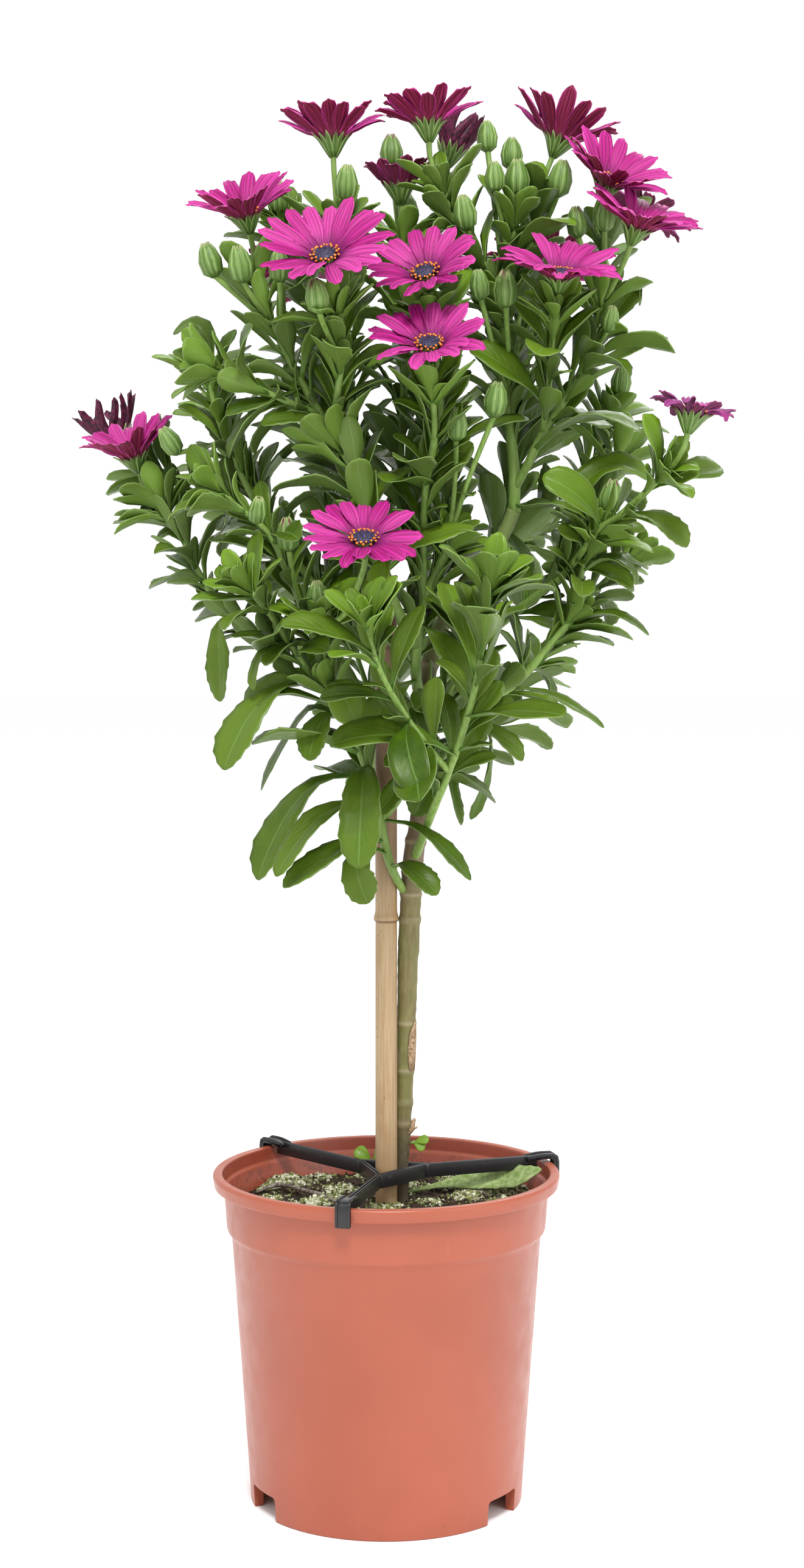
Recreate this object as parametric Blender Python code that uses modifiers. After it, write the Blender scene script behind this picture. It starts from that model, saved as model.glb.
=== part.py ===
# Osteospermum grown as a small bushy standard in its terracotta-coloured nursery pot.
# Every size and place below is in millimetres; the meshes are written in metres.

import math
import random

import bpy
import bmesh
from mathutils import Matrix, Quaternion, Vector
from mathutils.bvhtree import BVHTree

MM = 0.001
GAP = 0.3                        # clearance between pieces that touch on the plant
UP = Vector((0, 0, 1))

# Pot: the rim is a 190 mm circle and the pot's axis is the Z axis.
POT_TURNS = 32
RIM_R, RIM_TOP, RIM_WIDE = 95.0, 181.2, 5.4
LIP_R, LIP_LOW = 94.0, 173.6
COLLAR_TOP_R, COLLAR_LOW_R, COLLAR_LOW = 89.0, 87.2, 150.5
LEDGE = 2.6
BASE_R, BASE_Z, FOOT_R = 75.4, 13.7, 74.6
WALL, FLOOR = 2.0, 2.4
FOOT_WALL = 5.0
FOOT_GAP_ANGLE, FRONT_FOOT = 20.0, 267.3
DRAIN_R, DRAIN_OUT = 5.0, 46.0

# The soil's surface in section: its middle, and (radius, height) where it bends and at the wall.
SOIL_CROWN, SOIL_BEND, SOIL_EDGE = 163.5, (50.0, 162.4), (85.5, 160.0)

CANE_R, CANE_LOW, CANE_TOP, CANE_NODES = 6.0, 30.0, 506.0, (320.0, 470.0)

CLIP_ARMS = (14.0, 136.0, 257.0)
CLIP_MIDDLE, CLIP_RING_R = (1.2, 3.1), 21.5
CLIP_TALL, CLIP_THICK, CLIP_TOP = 8.5, 3.0, 183.4
HOOK_TOP, HOOK_LOW, HOOK_WIDE = 185.6, 171.0, 8.0

# The places of the plant are (x, z, y): where a point is seen against the upright plane
# through the pot's axis by an eye at EYE, and how far behind that plane it lies.
EYE = Vector((8.6, -1400.0, 492.7))

TRUNK = [(8.5, 122, 5.5), (8.5, 165, 5.5), (8.6, 187, 5.6), (10.2, 230, 5), (12, 300, 3.5),
         (14.5, 350, 2.5), (18, 374, 4), (20, 402, 8), (21, 438, 11), (26, 468, 12), (34, 486, 11),
         (42, 501, 9), (52, 514, 7), (62, 526, 5), (69, 541, 3)]
TRUNK_R = [3.6, 3.6, 3.7, 4.6, 5.6, 5.6, 5.2, 4.7, 4.5, 4.2, 4.0, 3.9, 3.8, 3.7, 3.5]

# A shoot is a list of limbs: (points, radius at the foot, radius at the tip, leaves, leaf length).
SHOOTS = {
    "stem_low_left": ("trunk", [
        ([(10, 334, 1), (6, 341, -6), (2, 350, -10.5), (-1, 362, -11.5), (-4, 378, -12), (-9, 398, -12),
          (-15, 413, -13), (-22, 430, -15), (-31, 444, -18)], 2.2, 2.7, 2, 68),
        ([(-31, 444, -18), (-50, 453, -14), (-70, 474, -4), (-88, 490, 6), (-101, 507, 14),
          (-109, 525, 20), (-120, 543, 26)], 2.4, 1.7, 4, 52),
        ([(-31, 444, -18), (-43, 456, -26), (-54, 472, -34), (-63, 486, -40), (-74, 498, -46)],
         2.0, 1.4, 4, 46),
        ([(-31, 444, -18), (-38, 468, -22), (-45, 488, -26), (-53, 507, -30), (-63, 528, -34),
          (-78, 542, -38), (-91, 553, -40)], 2.1, 1.3, 5, 49),
        ([(-29, 441, -17), (-31, 455, -26), (-34, 470, -34), (-35, 480, -39)], 1.8, 1.5, 2, 46),
        ([(-3, 372, -12), (8, 387, -13), (17, 406, -14), (27, 428, -16), (36, 446, -20), (44, 461, -24),
          (47, 478, -27)], 2.0, 1.4, 5, 49)]),
    "stem_low_right": ("trunk", [
        ([(20, 398, 8), (27, 405, 4), (36, 415, 1), (46, 428, -2), (57, 440, -5), (68, 446, -8),
          (79, 457, -10), (90, 470, -13), (100, 482, -16)], 2.5, 2.0, 3, 57),
        ([(100, 482, -16), (103, 497, -20), (107, 512, -24), (113, 526, -28)], 1.8, 1.4, 4, 41),
        ([(100, 482, -16), (109, 494, -8), (120, 505, 0), (129, 513, 6)], 1.6, 1.1, 3, 38)]),
    "stem_right": ("trunk", [
        ([(21, 442, 11), (33, 452, 18), (46, 466, 22), (62, 480, 18), (77, 492, 6), (97, 508, -14),
          (113, 529, -40), (127, 539, -60), (140, 551, -76), (149, 560, -86)], 2.8, 1.6, 4, 52),
        ([(97, 508, -14), (108, 535, 2), (117, 553, 10), (124, 566, 16)], 1.6, 1.1, 3, 38)]),
    "stem_centre": ("trunk", [
        ([(20.5, 436, 11), (17, 446, 2), (16, 458, -6), (17, 470, -9), (18, 480, -11), (22, 497, -14),
          (28, 508, -16), (33, 521, -20)], 3.1, 2.7, 2, 71),
        ([(20, 492, -13), (20, 530, -24), (22, 556, -34), (26, 580, -44), (25, 602, -52)],
         2.2, 1.7, 3, 54),
        ([(21, 495, -14), (14, 520, -2), (10, 545, 6), (8, 570, 12), (9, 600, 15), (10, 640, 16),
          (9, 680, 16)], 2.2, 1.5, 5, 60),
        ([(28, 508, -16), (32, 540, -8), (30, 580, -12), (28, 620, -22), (26, 642, -30)],
         2.0, 1.6, 3, 54)]),
    "stem_centre_left": ("stem_centre", [
        ([(16.5, 468, -9), (8, 484, -20), (1, 500, -30), (-5, 516, -36), (-11, 540, -38),
          (-16, 560, -36), (-25, 575, -34)], 2.8, 2.5, 2, 68),
        ([(-25, 575, -34), (-27, 590, -38), (-26, 604, -42), (-24, 622, -48), (-27, 645, -56)],
         2.2, 1.7, 3, 54),
        ([(-25, 575, -34), (-35, 592, -32), (-44, 607, -28), (-53, 624, -22), (-62, 642, -18),
          (-69, 662, -14)], 2.4, 1.6, 4, 54),
        ([(-35, 592, -32), (-55, 600, -40), (-75, 609, -44), (-90, 616, -46)], 1.8, 1.3, 4, 46)]),
    "stem_upper_left": ("trunk", [
        ([(21, 446, 11), (12, 470, 24), (2, 500, 32), (-8, 535, 36), (-16, 570, 36), (-20, 610, 30),
          (-23, 650, 24), (-25, 690, 14)], 3.0, 1.8, 5, 63),
        ([(-20, 610, 30), (-35, 640, 34), (-48, 670, 30), (-54, 688, 25)], 1.9, 1.4, 4, 49)]),
    "stem_top": ("trunk", [
        ([(69, 540, 3), (69, 560, 2), (67, 582, 2), (66, 602, 4), (64, 625, 6), (62, 650, 6)],
         3.3, 2.4, 3, 63),
        ([(62, 650, 6), (52, 672, 5), (42, 686, 4), (35, 697, 3), (31, 710, 2)], 1.8, 1.5, 2, 46),
        ([(62, 650, 6), (66, 675, 7), (69, 694, 5)], 1.9, 1.6, 3, 49),
        ([(66, 602, 4), (72, 640, 16), (77, 680, 22), (81, 704, 21)], 2.0, 1.6, 4, 52)]),
    "stem_right_top": ("stem_top", [
        ([(69, 552, 2.5), (76, 565, -4), (84, 582, -8), (94, 597, -8), (104, 614, -6), (111, 634, -4),
          (116, 652, -2)], 2.5, 1.8, 4, 54),
        ([(84, 582, -8), (87, 604, -20), (89, 630, -30), (91, 644, -36)], 1.9, 1.6, 2, 49),
        ([(111, 634, -4), (115, 660, 14), (116, 685, 26)], 1.7, 1.4, 2, 44)]),
    "stem_left": ("trunk", [
        ([(20, 425, 10), (6, 445, 21), (-15, 470, 28), (-38, 500, 28), (-60, 530, 22), (-78, 560, 14),
          (-90, 590, 6), (-95, 612, 2)], 2.8, 1.5, 6, 54),
        ([(-60, 530, 22), (-82, 540, 34), (-104, 551, 44), (-122, 562, 50)], 1.8, 1.4, 4, 46)]),
    "stem_back_left": ("trunk", [
        ([(20, 416, 11), (10, 440, 38), (-5, 465, 62), (-20, 500, 84), (-30, 540, 98), (-36, 585, 98),
          (-38, 630, 90)], 2.9, 1.7, 6, 63),
        ([(-20, 500, 84), (-50, 520, 104), (-72, 550, 112), (-88, 590, 104)], 1.9, 1.3, 5, 54)]),
    "stem_back_right": ("trunk", [
        ([(33, 484, 11), (46, 500, 36), (58, 520, 60), (68, 550, 80), (74, 590, 90), (76, 630, 88)],
         2.8, 1.7, 5, 63),
        ([(58, 520, 60), (84, 530, 86), (106, 555, 94), (120, 590, 86)], 1.9, 1.3, 5, 54)]),
    "stem_back_low": ("trunk", [
        ([(17, 370, 4), (16, 384, 20), (12, 398, 40), (4, 415, 62), (-8, 440, 86), (-18, 470, 104)],
         2.6, 1.4, 5, 65),
        ([(12, 398, 40), (34, 408, 62), (58, 430, 82), (78, 458, 94)], 1.8, 1.3, 3, 57)]),
    "stem_back_centre": ("trunk", [
        ([(26, 466, 12), (25, 484, 38), (23, 505, 62), (21, 540, 78), (20, 590, 78), (18, 640, 66),
          (14, 675, 52)], 2.6, 1.5, 6, 60)]),
    "stem_front": ("trunk", [
        ([(15, 352, 2), (19, 362, -12), (25, 378, -30), (34, 400, -50), (44, 430, -68), (52, 465, -80),
          (56, 500, -86)], 2.6, 1.5, 6, 68),
        ([(34, 400, -50), (14, 425, -76), (-2, 452, -97), (-10, 478, -112)], 1.8, 1.3, 4, 60)]),
}

# A bloom: shoot it stands on, foot of its stalk, calyx foot, the way it looks, then
# rays, ray length, how far the rays lift from flat, their arch, and whether its eye shows.
BLOOMS = {
    "bloom_01": ("stem_upper_left", (-25, 690, 14), (-28, 729, 8), (-.04, .05, 1), 14, 26, 50, 28, 1),
    "bloom_02": ("stem_top", (31, 710, 2), (23, 737, 2), (-.05, .05, 1), 13, 25, 46, 22, 1),
    "bloom_03": ("stem_top", (58, 662, 8), (33, 724, 48), (.25, .1, 1), 9, 22, 66, -10, 0),
    "bloom_04": ("stem_top", (81, 704, 21), (89, 729, 36), (.40, .05, 1), 12, 30, 44, 10, 1),
    "bloom_05": ("stem_right_top", (116, 685, 26), (115, 707, 2), (.42, -.55, 1), 14, 29, 46, 20, 1),
    "bloom_06": ("stem_right_top", (116, 678, 22), (134, 690, 78), (.4, .3, 1), 10, 22, 20, 20, 0),
    "bloom_07": ("stem_right_top", (116, 652, -2), (131, 683, -22), (.34, -.35, 1), 13, 28, 42, 34, 1),
    "bloom_08": ("stem_right_top", (91, 644, -36), (92, 657, -44), (.06, -.46, 1), 14, 30, 44, 48, 1),
    "bloom_09": ("stem_centre", (26, 642, -30), (23, 659, -40), (-.28, -.85, 1), 13, 26, 36, 28, 1),
    "bloom_10": ("stem_centre_left", (-27, 645, -56), (-31, 668, -66), (-.15, -.9, 1), 15, 31, 32, 26, 1),
    "bloom_11": ("stem_centre_left", (-69, 662, -14), (-73, 689, -13), (-.22, -.37, 1), 13, 27, 46, 26, 1),
    "bloom_12": ("stem_centre", (9, 680, 16), (8, 704, 22), (-.06, -.02, 1), 12, 18, 56, 14, 0),
    "bloom_13": ("stem_centre", (25, 602, -52), (24, 621, -62), (-.1, -.76, 1), 14, 26, 34, 26, 1),
    "bloom_14": ("stem_low_left", (-35, 480, -39), (-12, 517, -86), (0, -.7, 1), 15, 25.5, 24, 24, 1),
    "bloom_15": ("stem_low_left", (-120, 543, 26), (-133, 562, 32), (-.3, -.3, 1), 13, 26, 50, 24, 1),
    "bloom_16": ("stem_left", (-122, 562, 50), (-141, 573, 80), (-.5, .1, 1), 9, 23, 50, -20, 0),
    "bloom_17": ("stem_right", (149, 560, -86), (162, 583, -96), (.22, .0, 1), 12, 17, 44, 56, 1),
    "bloom_18": ("stem_back_left", (-38, 630, 90), (-42, 662, 92), (-.2, .7, 1), 12, 30, 30, 24, 1),
    "bloom_19": ("stem_back_right", (76, 630, 88), (82, 660, 92), (.2, .6, 1), 12, 30, 32, 24, 1),
}

# A bud: shoot, foot of its stalk, centre of the bud, size.
BUDS = [
    ("stem_upper_left", (-25, 690, 14), (-21, 715, -4), .95),
    ("stem_upper_left", (-54, 688, 25), (-57, 707, 20), .9),
    ("stem_centre", (10, 645, 16), (3, 731, 52), 1),
    ("stem_top", (63, 660, 6), (54, 739, 18), .85),
    ("stem_top", (66, 675, 7), (67, 730, 24), .9),
    ("stem_top", (65, 668, 7), (58, 718, -8), .8),
    ("stem_top", (69, 694, 5), (70, 717, 4), 1.05),
    ("stem_top", (78, 684, 22), (93, 717, 8), 1),
    ("stem_top", (52, 672, 5), (42, 699, -12), .95),
    ("stem_top", (66, 606, 4), (64, 659, -34), 1),
    ("stem_top", (66, 603, 4), (50, 661, -22), .8),
    ("stem_right_top", (113, 646, 3), (102, 694, 2), .85),
    ("stem_right_top", (114, 655, 9), (117, 697, 0), .8),
    ("stem_right_top", (107, 623, -5), (120, 643, -20), .7),
    ("stem_centre_left", (-53, 624, -22), (-57, 671, -36), .85),
    ("stem_centre_left", (-62, 642, -18), (-78, 672, -34), 1),
    ("stem_centre_left", (-60, 638, -19), (-94, 674, -26), .95),
    ("stem_centre_left", (-24, 622, -48), (-37, 655, -78), .9),
    ("stem_centre_left", (-90, 616, -46), (-99, 623, -48), .9),
    ("stem_left", (-86, 578, 9), (-116, 578, -2), .85),
    ("stem_low_left", (-72, 536, -37), (-69, 541, -52), .75),
    ("stem_low_left", (-45, 488, -26), (-53, 528, -48), .9),
    ("stem_low_left", (-35, 480, -39), (-37, 494, -46), .9),
    ("stem_centre", (33, 521, -20), (38, 587, -40), .9),
    ("stem_centre", (33, 521, -20), (59, 600, -36), .95),
    ("stem_low_right", (113, 526, -28), (121, 548, -32), .95),
    ("stem_back_left", (-88, 590, 104), (-94, 612, 106), .9),
    ("stem_back_right", (120, 590, 86), (126, 610, 88), .9),
    ("stem_back_centre", (14, 675, 52), (12, 700, 56), .9),
]
BUD_R, BUD_TALL = 6.9, 9.0

# A large leaf seen one by one: shoot, points along its midrib from stem to tip, and width.
LARGE_LEAVES = [
    ("stem_low_left", [(-83, 486, 3), (-90, 484, -2), (-90, 465, -6), (-90, 438, -9)], 17),
    ("stem_low_left", [(-40, 449, -16), (-62, 443, -34), (-78, 424, -46), (-88, 401, -52)], 25),
    ("stem_low_left", [(-22, 430, -15), (-42, 434, -2), (-57, 412, 4), (-68, 390, 8)], 16),
    ("stem_low_left", [(-22, 430, -15), (-33, 430, -22), (-39, 418, -28), (-42, 406, -30)], 17),
    ("stem_low_left", [(-9, 398, -12), (-38, 394, -18), (-58, 370, -26), (-70, 341, -30)], 22),
    ("stem_low_left", [(-5, 384, -12), (-30, 380, -32), (-48, 362, -46), (-60, 343, -54)], 17),
    ("stem_low_left", [(-1, 362, -11.5), (-20, 361, -26), (-38, 349, -36), (-56, 337, -42)], 16),
    ("stem_low_left", [(-11, 401, -12), (-12, 399, -40), (-14, 375, -58), (-15, 347, -62)], 22),
    ("stem_low_left", [(0, 356, -11), (-8, 358, -20), (-16, 346, -25), (-10, 328, -26)], 18),
    ("stem_low_left", [(3, 348, -10), (10, 349, -22), (18, 343, -30), (28, 333, -34)], 15),
    ("stem_low_left", [(0, 372, -12), (14, 371, -24), (32, 358, -34), (46, 341, -40)], 12),
    ("stem_low_left", [(24, 421, -15), (42, 424, -22), (60, 420, -28), (74, 406, -32)], 13),
    ("stem_low_left", [(13, 397, -13), (10, 396, -26), (4, 388, -34), (-5, 376, -36)], 12),
    ("stem_low_right", [(38, 418, 1), (36, 404, -6), (36, 388, -9), (41, 371, -10)], 10),
    ("stem_low_right", [(50, 432, -3), (56, 424, 6), (55, 398, 12), (46, 374, 14)], 9),
    ("stem_low_right", [(29, 407, 4), (30, 398, -4), (22, 390, -10), (15, 376, -12)], 17),
    ("stem_low_right", [(68, 446, -8), (86, 443, -14), (104, 434, -18), (118, 424, -20)], 9),
    ("stem_low_right", [(79, 457, -10), (86, 452, 0), (89, 444, 4), (91, 432, 6)], 12),
    ("stem_low_right", [(98, 480, -15), (114, 485, -22), (128, 484, -26), (142, 474, -28)], 10),
    ("stem_low_right", [(106, 509, -23), (118, 515, -30), (131, 512, -34), (135, 501, -35)], 13),
    ("stem_centre", [(18, 479, -10), (28, 472, -34), (40, 455, -44), (46, 438, -46)], 18),
    ("stem_centre", [(17, 449, 0), (6, 444, -24), (-4, 432, -34), (-13, 415, -38)], 17),
    ("stem_low_left", [(-26, 436, -16), (-45, 441, -28), (-60, 442, -34), (-74, 434, -38)], 10),
    ("stem_low_left", [(-47, 461, -29), (-62, 466, -36), (-71, 458, -40), (-72, 444, -41)], 8),
    ("stem_low_left", [(-97, 503, 12), (-110, 506, 2), (-120, 503, -4), (-128, 499, -6)], 16),
    ("stem_low_left", [(-102, 509, 15), (-108, 518, 6), (-117, 520, 0), (-125, 518, -2)], 14),
    ("stem_low_left", [(-106, 518, 18), (-110, 528, 26), (-117, 530, 30), (-124, 525, 32)], 11),
    ("stem_right_top", [(80, 573, -6), (96, 586, -22), (114, 592, -30), (137, 583, -34)], 22),
    ("stem_right", [(88, 502, -6), (98, 540, -14), (118, 566, -18), (144, 557, -22)], 15),
    ("stem_top", [(69, 543, 3), (82, 542, -16), (98, 544, -24), (113, 533, -28)], 13),
    ("stem_centre_left", [(-25, 575, -34), (-40, 588, -44), (-54, 590, -50), (-67, 587, -52)], 12),
    ("stem_centre_left", [(-44, 607, -28), (-60, 600, -38), (-74, 597, -44), (-86, 592, -48)], 13),
    ("stem_left", [(-72, 550, 17), (-82, 574, 20), (-92, 590, 24), (-104, 591, 26)], 15),
    ("stem_left", [(-93, 602, 4), (-94, 628, 8), (-102, 641, 12), (-114, 635, 14)], 12),
    ("stem_left", [(-94, 608, 3), (-100, 612, 14), (-108, 618, 20), (-115, 623, 22)], 11),
    ("stem_right_top", [(104, 614, -6), (112, 620, -24), (124, 620, -30), (131, 612, -32)], 17),
    ("stem_right_top", [(110, 631, -4), (122, 645, 4), (134, 660, 8), (136, 650, 9)], 14),
    ("stem_right_top", [(108, 626, -5), (122, 622, 10), (136, 630, 18), (151, 633, 22)], 9),
]

LEAF_WIDTH, LEAF_THICK = 0.31, 1.1
PETIOLE = 0.17
GOLDEN = math.radians(137.5)
HUB_R, HUB_TALL, RAY_WIDE, RAY_THICK = 6.6, 1.6, 9.4, 0.8
EYE_R, EYE_TALL = 5.6, 2.4
CALYX_R, CALYX_TALL, STALK_R = 5.4, 8.0, 1.5

COLOURS = {                      # colour, roughness
    "pot": ((.61, .17, .105), .48), "soil": ((.035, .022, .014), .95), "cane": ((.58, .37, .18), .55),
    "clip": ((.012, .012, .013), .4), "trunk": ((.17, .15, .07), .75), "tie": ((.01, .01, .01), .6),
    "green": ((.10, .22, .04), .5), "rays": ((.66, .03, .34), .45), "eye": ((.06, .03, .12), .7),
    "fallen_leaf": ((.22, .36, .09), .55), "twig": ((.25, .22, .19), .85)}


def seat(place):
    x, z, y = place
    k = (y - EYE.y) / -EYE.y
    return Vector((EYE.x + (x - EYE.x) * k, y, EYE.z + (z - EYE.z) * k))


def polar(radius, degrees, z=0.0):
    a = math.radians(degrees)
    return Vector((radius * math.cos(a), radius * math.sin(a), z))


def material(name):
    colour, rough = COLOURS[name]
    made = bpy.data.materials.new(name)
    made.use_nodes = True
    surface = made.node_tree.nodes["Principled BSDF"]
    surface.inputs["Base Color"].default_value = (*colour, 1)
    surface.inputs["Roughness"].default_value = rough
    return made


def new_object(name, mesh, collection):
    obj = bpy.data.objects.new(name, mesh)
    collection.objects.link(obj)
    return obj


def mesh_from(bm, name):
    bmesh.ops.recalc_face_normals(bm, faces=bm.faces)
    if bm.calc_volume(signed=True) < 0:
        bmesh.ops.reverse_faces(bm, faces=bm.faces)
    bmesh.ops.scale(bm, vec=(MM, MM, MM), verts=bm.verts)
    mesh = bpy.data.meshes.new(name)
    bm.to_mesh(mesh)
    bm.free()
    return mesh


def evaluated_mesh(obj):
    graph = bpy.context.evaluated_depsgraph_get()
    return bpy.data.meshes.new_from_object(obj.evaluated_get(graph))


def catmull(points, span):
    # Points every `span` or so along a smooth curve through the given ones, with their fractions.
    ends = [points[0] * 2 - points[1], *points, points[-1] * 2 - points[-2]]
    made = []
    for k in range(len(points) - 1):
        p0, p1, p2, p3 = ends[k:k + 4]
        steps = max(1, round((p2 - p1).length / span))
        for j in range(steps):
            t = j / steps
            made.append((.5 * (2 * p1 + (p2 - p0) * t + (2 * p0 - 5 * p1 + 4 * p2 - p3) * t * t
                               + (3 * p1 - p0 - 3 * p2 + p3) * t ** 3), (k + t) / (len(points) - 1)))
    return made + [(points[-1].copy(), 1.0)]


def tube_mesh(points, radii, resolution=1):
    curve = bpy.data.curves.new("tube", "CURVE")
    curve.dimensions, curve.use_fill_caps = "3D", True
    curve.bevel_depth, curve.bevel_resolution = MM, resolution
    line = curve.splines.new("POLY")
    line.points.add(len(points) - 1)
    for spot, point, radius in zip(line.points, points, radii):
        spot.co, spot.radius = (*point * MM, 1), radius
    holder = new_object("tube", curve, bpy.context.scene.collection)
    mesh = evaluated_mesh(holder)
    bpy.data.objects.remove(holder)
    bm = bmesh.new()
    bm.from_mesh(mesh)
    bmesh.ops.remove_doubles(bm, verts=bm.verts, dist=1e-6)
    bmesh.ops.recalc_face_normals(bm, faces=bm.faces)
    bm.to_mesh(mesh)
    bm.free()
    return mesh


def limb_mesh(places, foot_r, tip_r, resolution, span=24):
    line = catmull([seat(p) for p in places], span)
    radii = [foot_r + (tip_r - foot_r) * t for _, t in line]
    return tube_mesh([p for p, _ in line], radii, resolution)


def loft_mesh(rings, foot, tip):
    # Rings of three points, drawn to a point at the foot and at the tip.
    bm = bmesh.new()
    loops = [[bm.verts.new(p) for p in ring] for ring in rings]
    for low, high in zip(loops, loops[1:]):
        for a, b in ((0, 1), (1, 2), (2, 0)):
            bm.faces.new((low[a], low[b], high[b], high[a]))
    for loop, end in ((loops[0], foot), (loops[-1], tip)):
        point = bm.verts.new(end)
        for a, b in ((0, 1), (1, 2), (2, 0)):
            bm.faces.new((loop[a], loop[b], point))
    bmesh.ops.triangulate(bm, faces=bm.faces)
    return mesh_from(bm, "blade")


def spoon(t):
    return PETIOLE + (1 - PETIOLE) * math.sin(math.pi * max(0, (t - .2) / .8) ** 1.5) ** .7


def blade_mesh(line, normals, width, thick):
    # A flat blade with a keel under its midrib.
    rings = []
    for k, (point, t) in enumerate(line[1:-1], 1):
        ahead = (line[k + 1][0] - line[k - 1][0]).normalized()
        side = ahead.cross(normals[k]).normalized()
        half = width / 2 * spoon(t)
        rings.append([point - side * half, point + side * half, point - side.cross(ahead) * thick])
    return loft_mesh(rings, line[0][0], line[-1][0])


def leaf_line(foot, along, rise, length, droop, rows):
    # The midrib leaves the stem along `along` and turns down by `droop` over its length.
    side = along.cross(rise).normalized()
    rise = side.cross(along).normalized()
    line, normals, point, last = [], [], foot.copy(), 0.0
    for t in rows:
        point = point + Quaternion(side, -droop * (t + last) / 2) @ along * length * (t - last)
        line.append((point, t))
        normals.append(Quaternion(side, -droop * t) @ rise)
        last = t
    return line, normals


def large_leaf_line(shoot, places, rows):
    points = [seat(p) for p in places]
    limbs = [p for limb in SHOOTS[shoot][1] for p, _ in catmull([seat(q) for q in limb[0]], 2.0)]
    points[0] = min(limbs, key=lambda p: (p - points[0]).length)
    fine = catmull(points, 1.5)
    line = [fine[round(t * (len(fine) - 1))][0] for t in rows]
    # The blade looks out of the plant and up.
    out = (points[-1] - Vector((0, 0, points[-1].z))).normalized()
    return list(zip(line, rows)), [out * .55 + UP * .83 - Vector((0, .35, 0))] * len(rows)


def shoot_leaves(number, limbs):
    # Leaves turn round each limb by the golden angle and shorten towards its tip.
    made = []
    for which, (places, foot_r, tip_r, count, length) in enumerate(limbs):
        line = catmull([seat(p) for p in places], 2.0)
        first = .34 if which == 0 else .16
        for k in range(count):
            draw = random.Random(number * 1000 + which * 100 + k)
            share = first + (1 - first) * (k + .6 * draw.random()) / count
            spot = min(len(line) - 2, int(share * (len(line) - 1)))
            point, ahead = line[spot][0], (line[spot + 1][0] - line[spot][0]).normalized()
            across = ahead.orthogonal().normalized()
            turn = k * GOLDEN + draw.uniform(0, .5) + which
            long = length * draw.uniform(.82, 1.18) * (1 - .42 * share ** 3)
            lean = math.radians(draw.uniform(48, 66) - 30 * share ** 2)
            made.append((point, ahead, across, turn, long, lean, math.radians(draw.uniform(15, 75))))
    return made


def leaf_tries(spec):
    # The leaf as drawn first, then turned, lifted and shortened until it hangs clear.
    point, ahead, across, turn, long, lean, droop = spec
    for swing, size, lift in ((0, 1, 0), (.5, 1, 0), (-.5, 1, 0), (0, .85, .3), (1.0, .85, 0),
                              (-1.0, .85, 0), (.3, .7, .4), (-.4, .65, .5), (2.2, .7, .2), (3.1, .6, .4)):
        out = Quaternion(ahead, turn + swing) @ across
        tilt = lean - lift
        along = (ahead * math.cos(tilt) + out * math.sin(tilt)).normalized()
        rise = (ahead * math.sin(tilt) - out * math.cos(tilt)).normalized()
        if rise.z < -.2:
            rise = (rise + UP * .9).normalized()
        yield point, along, rise, long * size, droop


def box_mesh(size, matrix):
    bm = bmesh.new()
    bmesh.ops.create_cube(bm, size=1)
    bmesh.ops.scale(bm, vec=size, verts=bm.verts)
    bmesh.ops.transform(bm, matrix=matrix, verts=bm.verts)
    return mesh_from(bm, "box")


def cone_mesh(low_r, high_r, tall, sides, matrix):
    bm = bmesh.new()
    bmesh.ops.create_cone(bm, cap_ends=True, segments=sides, radius1=low_r, radius2=high_r, depth=tall)
    bmesh.ops.translate(bm, vec=(0, 0, tall / 2), verts=bm.verts)
    bmesh.ops.transform(bm, matrix=matrix, verts=bm.verts)
    return mesh_from(bm, "cone")


def turned(name, profile, collection):
    mesh = bpy.data.meshes.new(name)
    mesh.from_pydata([(r * MM, 0, z * MM) for r, z in profile],
                     [(k, k + 1) for k in range(len(profile) - 1)], [])
    obj = new_object(name, mesh, collection)
    screw = obj.modifiers.new("turn", "SCREW")
    screw.steps = screw.render_steps = POT_TURNS
    screw.use_merge_vertices, screw.merge_threshold = True, 0.00001
    return obj


def boolean(obj, other, operation, solver="EXACT"):
    cut = obj.modifiers.new("cut", "BOOLEAN")
    cut.operation, cut.solver = operation, solver
    if isinstance(other, bpy.types.Collection):
        cut.operand_type, cut.collection = "COLLECTION", other
    else:
        cut.object = other


def cutter(name, mesh, collection):
    obj = new_object(name, mesh, collection)
    obj.hide_render, obj.display_type = True, "WIRE"
    return obj


def fused(name, meshes, parts, cutters=()):
    # One solid from overlapping ones, less the cutters.
    obj = new_object(name, meshes[0], parts)
    if len(meshes) > 1:
        rest = bpy.data.collections.new(name + "_pieces")
        bpy.context.scene.collection.children.link(rest)
        for mesh in meshes[1:]:
            new_object("piece", mesh, rest)
        boolean(obj, rest, "UNION", "MANIFOLD")
    for piece in cutters:
        boolean(obj, piece, "DIFFERENCE", "MANIFOLD")
    mesh = evaluated_mesh(obj)
    obj.modifiers.clear()
    obj.data = mesh
    if len(meshes) > 1:
        for piece in list(rest.objects):
            bpy.data.objects.remove(piece)
        bpy.data.collections.remove(rest)
    return obj


def inner_wall():
    # Inside of the pot from the rim's top down to the floor, as (radius, height).
    low = BASE_R - WALL
    return [(RIM_R - RIM_WIDE, RIM_TOP - 1), (COLLAR_TOP_R - WALL, LIP_LOW),
            (COLLAR_LOW_R - WALL, COLLAR_LOW + WALL), (COLLAR_LOW_R - LEDGE - WALL, COLLAR_LOW - WALL),
            (low, BASE_Z + FLOOR)]


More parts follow.
